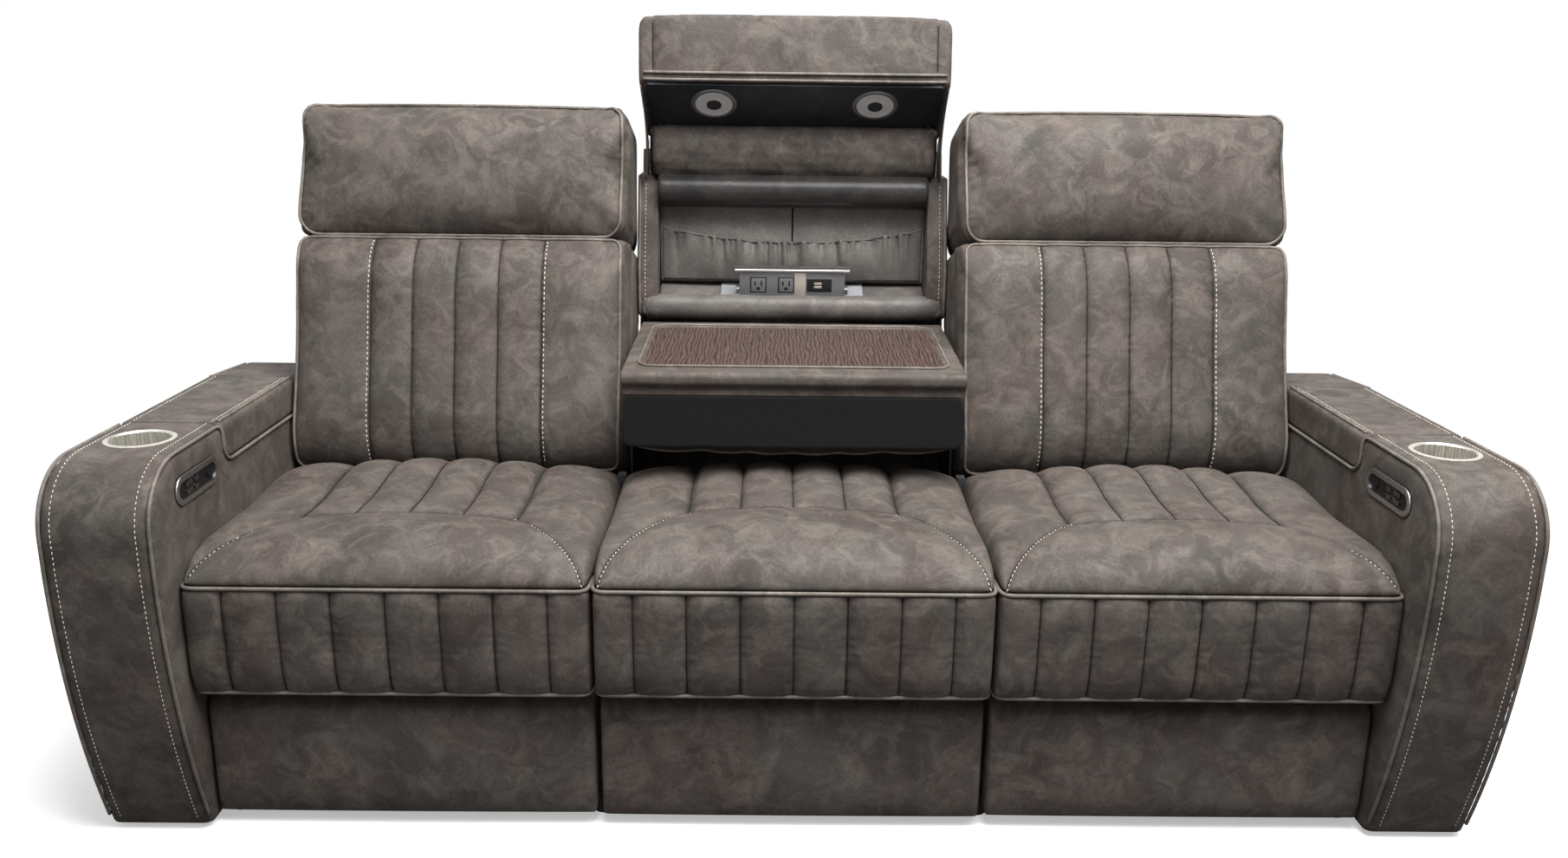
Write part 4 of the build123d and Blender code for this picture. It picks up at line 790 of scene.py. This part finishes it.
def make_seat(name, c):
    # The cross seam ends the channels; it lies further forward on the outer seats
    cross_y = -230.0 if name == "mid" else -278.0
    over = 520
    cushion = cover_of(f"{name}_seat_cushion", f"{name}_seat_cover", 8.0, 3)
    tree = surface(cushion)
    across = [c + k * CHANNEL_PITCH for k in range(-2, 3)]
    channels = [lay(tree, line((x, cross_y, over), (x, 30, over)), DOWN) for x in across]
    cross = lay(tree, line((across[0], cross_y, over), (across[-1], cross_y, over)), DOWN)
    # Beside the channels two seams swing outwards to the front corners
    swings = []
    t = np.linspace(0, 1, 24)[:, None]
    for s in (-1, 1):
        start, bend = (c + s * 176, cross_y + 2, over), (c + s * 247, cross_y - 58, 500)
        start, bend, end = np.array([start, bend, (c + s * 304, -432, 460)])
        curve = (1 - t) ** 2 * start + 2 * t * (1 - t) * bend + t * t * end
        swings.append(lay(tree, curve, DOWN))
    seams = channels + [cross] + swings
    points = points_of(cushion)
    under = (points[:, 2] < 0.44) | (points[:, 1] > 0.025)
    swell(cushion, sewn_down(points, seams) | under, 4.0, 16)
    refine(cushion)
    press(cushion, [cross, channels[0], channels[-1]], 9.0, 4.5, 0.6)
    press(cushion, seams, 5.0, 6.4, 1.0)
    tree = surface(cushion)
    seam_threads(f"{name}_seat_seams", tree, seams, DOWN, "frame")
    finish_piece(cushion, COVER, "frame", f"{name}_seat_cushion")
    rows = []
    for s, (places, _) in zip((-1, 1), swings):
        beside = np.array((-s * 4.0, 2.0, 0))
        rows.append(lay(tree, [np.array(p) / MM + beside for p in places], DOWN))
    stitch(f"{name}_seat_topstitching", rows, "frame")

    panel = cover_of(f"{name}_front_panel", f"{name}_front_panel_cover", 6.5, 3)
    tree = surface(panel)
    across = [c + k * PANEL_RIB_PITCH for k in range(-3, 4)]
    ribs = [lay(tree, line((x, -450, 262), (x, -450, 428)), IN) for x in across]
    refine(panel)
    press(panel, ribs, 4.6, 5.2, 0.8)
    seam_threads(f"{name}_front_panel_seams", surface(panel), ribs, IN, "frame")
    finish_piece(panel, COVER, "frame", f"{name}_front_panel")
    # Piping along both edges of the panel, which turns the corners onto its sides
    left, corner = c - 307.0, 12
    for label, z, y in (("top", 434.0, -436.0), ("bottom", 256.0, -424.0)):
        run = [(left - 2, y + 60), (left - 1, y + 24)]
        run += [
            (left + corner - corner * cos(t), y + 13 - corner * sin(t))
            for t in np.linspace(0, pi / 2, 6)
        ]
        run += [(2 * c - x, q) for x, q in run[::-1]]
        normals = []
        for x, q in run:
            share = min(1.0, max(0.0, (q - y) / 14))
            way = Vector(((1 if x > c else -1) * share, -(1 - share), 0))
            normals.append(tuple(way.normalized()))
        places = [(x * MM, q * MM, z * MM) for x, q in run]
        pipe(f"{name}_front_piping_{label}", (places, normals), "frame", 3.2)


for name, centre in SEATS.items():
    make_seat(name, centre)

BRACKETS_FROM = -346
for name in SEATS:
    moves = name != "mid"
    solid = f"{name}_footrest" if moves else "mid_lower_fascia"
    body = f"{name}_footrest_panel" if moves else "frame"
    board = cover_of(solid, f"{name}_lower_panel_cover")
    if moves:
        cut_away(board, (0, BRACKETS_FROM - 0.1, 0), (0, 1, 0))
        steel = cover_of(solid, f"{name}_lower_panel_brackets")
        cut_away(steel, (0, BRACKETS_FROM + 0.1, 0), (0, -1, 0))
        finish_piece(steel, BLACK_STEEL, body, smooth=30)
    soften(board, 5.0, 5)
    # The padding rolls back at the top edge and hangs a little below the board
    points = points_of(board) / MM
    y, z = points[:, 1:].T
    top, front = ramp(z, 202, 246), ramp(y, -352, -392)
    y += 24 * top**2 * front
    z -= 10 * top * front
    z -= (9 if moves else 12) * ramp(z, 95, 35)
    set_points(board, points * MM)
    finish_piece(board, COVER, body, solid)

# --- Outer backs


def fuller_inwards(piece, c, by):
    """Fills the side of an outer back that faces the middle, so that only a narrow slit is left."""
    points = points_of(piece)
    way = -1 if c > 0 else 1
    towards = (points[:, 0] / MM - c) * way
    x = points[:, 0] + by * ramp(towards, 240, 302) * way * MM
    clear_of_middle = np.sign(c) * np.maximum(np.abs(x), 311.2 * MM)
    points[:, 0] = np.where(towards > 0, clear_of_middle, x)
    set_points(piece, points)


def round_corners(piece, c, half, low, high, corner):
    """Rounds the four corners of a back cushion as seen square to the back."""
    points = points_of(piece)
    x = points[:, 0] / MM - c
    up = up_and_behind(points)[0]
    px = np.abs(x) - (half - corner)
    limit = corner + 9
    for py, sign in ((up - (high - corner), 1), ((low + corner) - up, -1)):
        far = np.hypot(px, py)
        hit = (px > 0) & (py > 0) & (far > limit)
        less = np.where(hit, limit / np.maximum(far, 1e-6) - 1, 0)
        points[:, 0] += np.sign(x) * px * less * MM
        points[:, 1] += sign * py * less * sin(TILT) * MM
        points[:, 2] += sign * py * less * cos(TILT) * MM
    set_points(piece, points)


def make_back(name, c):
    body = f"{name}_back"
    shell = cover_of(f"{name}_back_frame", f"{name}_back_shell_cover", 9.0, 1)
    fuller_inwards(shell, c, 5.5)
    finish_piece(shell, COVER, body, f"{name}_back_frame")
    tree = surface(shell)
    for label, s in (("a", -1), ("b", 1)):
        edge = [on_back(c, s * 303, up, 240) for up in range(50, 400, 12)]
        run = lay(tree, edge, -Vector(INTO_BACK))
        pipe(f"{name}_back_shell_piping_{label}", run, body)

    lumbar = cover_of(f"{name}_lumbar_cushion", f"{name}_lumbar_cover", 7.2, 2)
    fuller_inwards(lumbar, c, 5.5)
    tree = surface(lumbar)
    ribs = [
        lay_on_back(tree, c, [(k * BACK_RIB_PITCH, up) for up in np.linspace(-24, 400, 40)])
        for k in range(-2, 3)
    ]
    points = points_of(lumbar)
    swell(lumbar, sewn_down(points, ribs) | (up_and_behind(points)[1] > 40), 4.0, 14)
    refine(lumbar)
    press(lumbar, ribs, 4.6, 6.0, 0.8)
    fuller_inwards(lumbar, c, 0)
    tree = surface(lumbar)
    seam_threads(f"{name}_lumbar_seams", tree, ribs, INTO_BACK, body)
    finish_piece(lumbar, COVER, body, f"{name}_lumbar_cushion")
    run = lay_on_back(tree, c, rounded_loop(300, -26, 404, 16))
    pipe(f"{name}_lumbar_piping", run, body, closed=True)
    beside = 2 * BACK_RIB_PITCH + 5.0
    rows = [
        lay_on_back(tree, c, [(s * beside, up) for up in np.linspace(-10, 398, 60)])
        for s in (-1, 1)
    ]
    stitch(f"{name}_lumbar_topstitching", rows, body, 9.5, 6.6, 2.3)

    body = f"{name}_head"
    head = cover_of(f"{name}_headrest", f"{name}_headrest_cover", 7.4, 5)
    fuller_inwards(head, c, 5.5)
    round_corners(head, c, 300, 412, 661, 30)
    points = points_of(head)
    underside = points[:, 2] < on_back(0, 0, 414, 0)[2] * MM
    swell(head, (up_and_behind(points)[1] > 60) | underside, 2.5, 10)
    refine(head)
    places, normals = lay_on_back(surface(head), c, rounded_loop(299, 412, 660, 30))
    press(head, [(places + places[:1], normals + normals[:1])], 6.0, 1.5, 1.3, 0.6)
    fuller_inwards(head, c, 0)
    finish_piece(head, COVER, body, f"{name}_headrest")
    pipe(f"{name}_headrest_piping", (places, normals), body, closed=True)


for name in SIDES:
    make_back(name, SEATS[name])

# --- Console

pad = cover_of("console_cushion", "console_pad_cover", 6.0, 4)
# Its underside rises towards the box face, which is flat
points = points_of(pad) / MM
y, z = points[:, 1:].T
front = ramp(y, -20, -65)
front = front * front * (3 - 2 * front)
z -= front * np.where(z < 640, 0.65 * np.maximum(0, z - 566) * ramp(z, 642, 602), 0)
y += ramp(y, -60, -85) * (-98.5 - y) * 0.8
set_points(pad, points * MM)
tree = surface(pad)
across = [k * BACK_RIB_PITCH for k in range(-2, 3)]
ribs = [lay(tree, line((x, -30, 500), (x, 280, 500)), (0, 0, 1)) for x in across]
press(pad, ribs, 6.5, 3.0, 1.5)
# Painted shade: the box face, shaded by the tray's lip, is painted as dark as the bottom of a seam
paint_shade(pad, 1.38 * ramp(points_of(pad)[:, 1] / MM, -70, -88))
finish_piece(pad, COVER, "console", "console_cushion")
low = lay(tree, line((-291, -96, 500), (291, -96, 500), 60), (0, 0.5, 1))
pipe("console_pad_piping", low, "console")

tray = cover_of("console_tray_frame", "console_tray_cover", 3.3, 4)
tree = surface(tray)
finish_piece(tray, COVER, "console", "console_tray_frame")
bead = lay(tree, [(x, y, 760) for x, y in rounded_loop(272, -68.5, 250.5, 27)], DOWN)
pipe("console_tray_bead", bead, "console", 2.4, True, 0.5)

# --- Middle back: cheeks, lining, ledge, roll and pouch

box_frame = cover_of("middle_back_frame", "middle_back_cover")
points = points_of(box_frame)
wide = np.abs(points[:, 0]) > 0.2985
points[wide, 0] = np.sign(points[wide, 0]) * 0.3098
set_points(box_frame, points)
# It is thinly covered, so only its sharp edges are rounded
tidy_mesh(box_frame, flat_angle=1)
sharp = {"limit_method": "ANGLE", "angle_limit": radians(35)}
modify(box_frame, "rounded edges", "BEVEL", width=4.0 * MM, segments=3, **sharp)
apply_modifiers(box_frame)
finish_piece(box_frame, COVER, "frame", "middle_back_frame", smooth=40)
tree = surface(box_frame)
for label, s in SIDES.items():
    edge = lay(tree, line((s * 305.0, 200, 585), (s * 305.0, 200, 992), 80), IN)
    pipe(f"{label}_cheek_piping", edge, "frame", 2.6)
    rows = [lay(tree, line((s * 294, 200, 590), (s * 294, 200, 990), 80), IN)]
    stitch(f"{label}_cheek_topstitching", rows, "frame")
for label, s in SIDES.items():
    # Side wings close the view past the console, and flaps the notch between the seats
    wing = slab(f"{label}_cheek_wing_cover", (s * 306.95, 236, 484), (6.9, 146, 156), 2.0)
    finish_piece(wing, COVER, "frame", smooth=30)
    flap = slab(f"{label}_seat_gap_flap", (s * 312.5, 18, 448), (16, 20, 70), 2.0)
    finish_piece(flap, WEBBING, "frame", smooth=30)
# Painted light: the wall slab is a lighter copy of the cover, as if light reached the back of the recess
wall = slab("recess_wall_cover", (0, 382.6, 864), (536, 2.6, 158), 1.2)
refine(wall)
finish_piece(wall, WALL_PAINTED_LIGHT, "frame")
# The wall's seam line uses the dark seam thread, which is painted shade in the seam
seam = lay(surface(wall), line((0, 300, 800), (0, 300, 941), 30), IN)
pipe("recess_wall_seam", seam, "frame", 1.8, proud=0.2, material=SEAM)

ledge = cover_of("console_ledge", "console_ledge_cover", 4.0, 5)
finish_piece(ledge, LINING, "frame", "console_ledge")
# The ledge's padded nose: a slightly uneven roll that closes at both ends
straight, bulge, behind, before, tall = 266, 37.2, 10, 23, 25
around = np.linspace(0, 2 * pi, 36, endpoint=False)
ends = np.linspace(-303, -272, 12), np.linspace(272, 303, 12)
stations = np.concatenate([ends[0], np.linspace(-straight, straight, 89), ends[1]])
points = []
for x in stations:
    y, z = 317 + 0.8 * sin(x * 0.031), 743 + 0.7 * sin(x * 0.05 + 1)
    over = max(0.0, (abs(x) - straight) / bulge)
    grow = (1 - over**2.6) ** (1 / 2.6) if over < 1 else 0.02
    for a in around:
        depth = behind if cos(a) > 0 else before
        spot = (x, y + depth * grow * cos(a), z + tall * grow * sin(a))
        points.append(tuple(v * MM for v in spot))
faces = grid_faces(len(stations), 36)
faces += [tuple(range(36)), tuple(range(len(points) - 36, len(points)))]
nose = mesh_piece("console_ledge_nose", points, faces)
finish_piece(nose, LINING, "frame")

# Painted shade: the roll's near-black leatherette stands for the shade at the top of the recess
roll = cover_of("recess_roll", "recess_roll_cover", 5.0, 3)
finish_piece(roll, ROLL_PAINTED_SHADE, "frame", "recess_roll")

# The pouch: folds from its gathered top run out towards its foot
across, rise = 220, 24
half, top, bottom = 262.0, 894.0, 791.0
points = []
for j in range(rise + 1):
    share = j / rise
    for i in range(across + 1):
        u = -1 + 2 * i / across
        drift = 1.9 * sin(u * 6.1 + 0.7) + 1.3 * sin(u * 13.7 + 1.1)
        fold = 0.9 * cos(u * 29 + drift + 0.9 * share) * (0.2 + 0.8 * share)
        fold += 0.6 * cos(u * 61 + 2.2 * drift + 1.4 * share) * share**1.6
        fold += 0.45 * cos(u * 118 + 3.1 * drift) * share**4
        deep = sin(pi * min(1.0, share * 0.7 + 0.12)) * 15
        y = 372 - deep * (1 - u**4) - 6.0 * fold * (1 - u**8) - 1.5 * (1 - share)
        z = bottom + share * (top - bottom - 26 * (1 - u * u)) + 2.0 * share * fold
        points.append((u * half * MM, y * MM, z * MM))
faces = grid_faces(rise + 1, across + 1, columns_close=False)
cloth = mesh_piece("storage_pouch_cloth", points, faces)
thicken(cloth, 1.4)
finish_piece(cloth, LINING, "frame", "storage_pouch")
hem_points = points[-(across + 1) :]
run = (hem_points, [(0, -1, 0)] * len(hem_points))
hem = pipe("storage_pouch_hem", run, "frame", 2.6, proud=0.0, material=LINING)
behind = ["middle_back_cover", "recess_wall_cover"]

# --- Flip-up headrest

flip = cover_of("flip_headrest", "flip_headrest_cover", 6.8, 3)
# Levels the top line, which the even mesh left wavy: the highest point of each 12 mm is moved
strip_width, strips, first = 12, 50, -300
points = points_of(flip) / MM
x, z = points[:, 0], points[:, 2]
bins = np.clip(((x - first) / strip_width).astype(int), 0, strips - 1)
highest = [z[bins == b].max() if (bins == b).any() else 1300 for b in range(strips)]
wave = np.interp(x, np.arange(strips) * strip_width + first + 6, highest)
wanted = 1304 - 4 * (x / 296) ** 4 - 10 * ramp(np.abs(x), 272, 296) ** 2
z += np.where(wave > wanted - 12, wanted - wave, 0) * ramp(z, 1190, 1280)
set_points(flip, points * MM)
refine(flip)
tree = surface(flip)
sides = [lay(tree, [(x, 200, z) for z in np.linspace(1205, 1286, 16)], IN) for x in (-268, 268)]
press(flip, sides, 4.6, 3.6, 0.8)
tree = surface(flip)
seam_threads("flip_headrest_seams", tree, sides, IN, "flip_head")
finish_piece(flip, COVER, "flip_head", "flip_headrest")
for label, z in (("low", 1186), ("high", 1198)):
    rim = lay(tree, line((-286, 200, z), (286, 200, z), 60), IN)
    pipe(f"flip_headrest_piping_{label}", rim, "flip_head")


def cloth_between(name, rows, thickness):
    """A cloth piece through rows of points (mm), from the fixed back to the headrest that flips."""
    points = [tuple(np.array(p) * MM) for row in rows for p in row]
    faces = grid_faces(len(rows), len(rows[0]), columns_close=False)
    cloth = mesh_piece(name, points, faces)
    thicken(cloth, thickness)
    give(cloth.data, COVER)
    cloth.data.shade_smooth()
    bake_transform(cloth, "frame", "flip_head", start=(0, 0.350, 1.006), end=(0, 0.350, 1.090))


# A cover strip closes the hinge between the roll and the lamp panel, and a gusset closes each side
profile_y = (350, 341, 335, 333, 335, 341, 349, 356)
profile_z = (1001, 1014, 1030, 1048, 1066, 1082, 1093, 1097)
rows = []
for t in np.linspace(0, 7, 29):
    y, z = (np.interp(t, range(8), profile) for profile in (profile_y, profile_z))
    row = []
    for u in np.linspace(-1, 1, 61):
        wrinkle = 1.6 * sin(9 * u + z * 0.05) * cos(z * 0.13 + 3 * u)
        wrinkle += 0.9 * sin(23 * u - z * 0.09)
        tucked = 26 * max(0, abs(u) - 0.965) / 0.035
        row.append((u * 284, y + wrinkle * 0.7 + tucked, z + 0.3 * wrinkle))
    rows.append(row)
cloth_between("hinge_cover_strip", rows, 2.0)
for label, s in SIDES.items():
    rows = []
    for t in np.linspace(0, 1, 22):
        row = []
        for u in np.linspace(0, 1, 14):
            foot = np.array((s * 292.0, 338 + 62 * u, 992.0))
            head = np.array((s * 291.0, 254 + 145 * u, 1175 - 113 * u))
            spot = foot + (head - foot) * t
            spot[0] -= s * 5 * sin(pi * t) * (1 - u)
            row.append(tuple(spot))
        rows.append(row)
    cloth_between(f"{label}_hinge_gusset", rows, 1.6)

# The lamps: a dark outer ring, a dished silver ring, and the button of the frame in the middle
panel_turn = radians(-110) - TILT
panel_way = Vector((0, cos(panel_turn), sin(panel_turn)))
RIM = [(36.5, -3), (36.5, 2.0), (39, 3.0), (43, 2.2), (44, 0.5), (44, -3)]
DISH = [(14.6, -3), (14.6, 3.4), (17, 3.2), (26, 1.8), (33, 3.6), (35.5, 3.2)]
DISH += [(36.2, 0), (36.2, -3)]
for label in SIDES:
    low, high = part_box(f"{label}_reading_light_button")
    middle = (low + high) / 2
    seat = (middle - panel_way * 0.0011) / MM
    for part, section, material, solid in (
        ("rim", RIM, RIM_ABS, "reading_light_rings"),
        ("dish", DISH, LAMP_ABS, None),
    ):
        ring = ring_piece(f"{label}_lamp_{part}", seat, panel_way, section)
        finish_piece(ring, material, "flip_head", solid, smooth=30)

# --- Power module

slope = Vector((0, cos(LEDGE), sin(LEDGE)))
square = Vector((0, -sin(LEDGE), cos(LEDGE)))
turn = Matrix((Vector((1, 0, 0)), slope, square)).transposed()

GREY, BLACK, BRIGHT = "grey_plastic", "black_plastic", "satin_steel"
# Each part's place (across, up the slope, square to it), size, corner, material and slot
module = [
    ("power_module_housing", (0, 46.8, 30.5), (212, 12.4, 61), 1.2, GREY_ABS, GREY),
    ("power_module_lid", (0, 46, 63.5), (232, 18, 5), 2.0, ALUMINIUM, BRIGHT),
]
for k, x in enumerate((-109.5, 109.5)):
    ear = (f"power_module_ear_{k}", (x, 46, 11.2), (6.8, 14, 21.8), 1.0, ALUMINIUM, BRIGHT)
    module.append(ear)
for k, x in enumerate((-68, -12)):
    module += [
        (f"outlet_border_{k}", (x, 40.5, 29), (33, 1.0, 36), 0.4, RUBBER, BLACK),
        (f"outlet_face_{k}", (x, 40.3, 29), (28, 1.8, 31), 0.7, GREY_ABS, BLACK),
        (f"outlet_slot_{k}_0", (x - 6.5, 39.6, 33), (3.2, 1, 10), 0.3, RUBBER, BLACK),
        (f"outlet_slot_{k}_1", (x + 6.5, 39.6, 33), (3.2, 1, 12), 0.3, RUBBER, BLACK),
        (f"outlet_slot_{k}_2", (x, 39.6, 21), (7, 1, 7), 0.3, RUBBER, BLACK),
    ]
module += [
    ("outlet_blank_strip", (16, 40.3, 30), (23, 1.8, 56), 0.7, CREAM_ABS, GREY),
    ("usb_insert", (55, 40.3, 29), (50, 1.6, 30), 0.7, OUTLET_ABS, GREY),
    ("usb_port_0", (52, 39.55, 25.5), (15, 1, 5.5), 0.4, CREAM_ABS, GREY),
    ("usb_port_1", (52, 39.55, 33.5), (15, 1, 5.5), 0.4, CREAM_ABS, GREY),
]
SEGMENTS = {"power_module_lid": 4, "usb_port_0": 2, "usb_port_1": 2}
for name, (x, along, up), size, corner, material, slot in module:
    spot = Vector((0, *LEDGE_FOOT)) + slope * along + square * up
    segments = 1 if name.startswith("outlet_slot") else SEGMENTS.get(name, 3)
    piece = slab(name, (x, spot.y, spot.z), size, corner, turn, segments)
    solid = "power_module" if name == "power_module_housing" else None
    finish_piece(piece, material, "power_strip", solid, smooth=30)

# --- Finishes of the hard parts


def on_both(*names):
    return [f"{side}_{name}" for side in SIDES for name in names]


FINISH = {
    TIMBER: ["base_frame"],
    WEBBING: ["seat_decks"],
    RUBBER: ["feet"],
    BLACK_STEEL: [f"console_{n}" for n in ("hinge_plates", "pivot_brackets")]
    + [f"flip_headrest_{n}" for n in ("arms", "brackets")]
    + on_both("mechanism_frame", "drive_links", "front_links"),
    BLACK_ABS: on_both("recline_motor", "storage_bin", "control_insert"),
    GLOSS_ABS: on_both("recline_rocker", "headrest_rocker"),
    OUTLET_ABS: on_both("reading_light_button"),
    GREY_ABS: ["power_module_plate"],
    STEEL: on_both("cup_holder"),
    NICKEL: on_both("control_bezel"),
    PANEL_VINYL: ["light_panel"],
    WOOD_FOIL: ["console_wood_panel"],
}
for material, names in FINISH.items():
    for name in names:
        give(nodes[name].data, material)

# --- Floor, light and camera

bpy.ops.object.select_all(action="DESELECT")
bpy.ops.mesh.primitive_plane_add(size=30, location=(0, 0, 0))
floor = bpy.context.object
floor.name = "studio_floor"
material, node, place = new_material("studio_floor_paint")
grain = node("TexNoise", {"Vector": place, "Scale": 3.0})
paint = node("ValToRGB", {"Fac": grain}, stops=[(0.0, "#f4f4f4"), (1.0, "#f8f8f8")])
matt = node("BsdfDiffuse", {"Color": paint})
bounce = node("BsdfDiffuse", {"Color": "#6e6e6e"})
glow = node("Emission", {"Color": "#ffffff", "Strength": 0.42})
both = node("AddShader", {0: matt, 1: glow})
# Away from the object's shadow the floor runs out into the white background
far = node("VectorMath", {0: place}, operation="LENGTH")
reach = {"Value": far, "From Min": 1.3, "From Max": 2.6}
reach = node("MapRange", reach, interpolation_type="SMOOTHSTEP")
blank = node("Emission", {"Color": "#ffffff", "Strength": 1.0})
both = node("MixShader", {0: reach, 1: both, 2: blank})
seen = node("LightPath").outputs["Is Camera Ray"]
seen = node("MixShader", {0: seen, 1: bounce, 2: both})
node("OutputMaterial", {"Surface": seen})
floor.data.materials.append(material)

# The world lights the object dimly, and shows as white where it is seen
world = bpy.data.worlds.new("studio")
bpy.context.scene.world = world
node = start_nodes(world)
ray = node("LightPath").outputs
shown = ray["Is Camera Ray"]
for kind in ("Glossy", "Transmission"):
    shown = node("Math", {0: shown, 1: ray[f"Is {kind} Ray"]}, operation="MAXIMUM")
soft = node("Background", {"Color": "#ffffff", "Strength": 0.2})
white = node("Background", {"Color": "#ffffff", "Strength": 1.0})
both = node("MixShader", {0: shown, 1: soft, 2: white})
node("OutputWorld", {"Surface": both})

for name, place, aim, power, size in (
    ("key_light", (1.6, -1.9, 3.2), (0.1, 0, 0.7), 62, 1.7),
    ("fill_light", (-2.2, -2.2, 2.3), (0, 0, 0.5), 14, 2.2),
    ("top_light", (0.3, -0.9, 3.1), (0, -0.4, 0.4), 190, 2.0),
):
    lamp = bpy.data.lights.new(name, "AREA")
    lamp.energy = power
    lamp.size = size
    rig = bpy.data.objects.new(name, lamp)
    rig.location = place
    rig.rotation_euler = (Vector(aim) - Vector(place)).to_track_quat("-Z", "Y").to_euler()
    collection.objects.link(rig)

# The picture is 1810 x 990. The camera stands at eye height, pitched 15.2 degrees down.
yaw, pitch, roll = radians(-0.5), radians(15.2), radians(0.7)
lens = bpy.data.cameras.new("camera")
lens.lens = 29.83
lens.sensor_width = 36
lens.sensor_fit = "HORIZONTAL"
camera = bpy.data.objects.new("camera", lens)
turned = Matrix.Rotation(yaw, 4, "Z") @ Matrix.Rotation(pi / 2 - pitch, 4, "X")
turned = turned @ Matrix.Rotation(roll, 4, "Z")
camera.matrix_world = Matrix.Translation((-0.0353, -2.2781, 1.1942)) @ turned
collection.objects.link(camera)
bpy.context.scene.camera = camera
bpy.context.scene.view_settings.view_transform = "Standard"
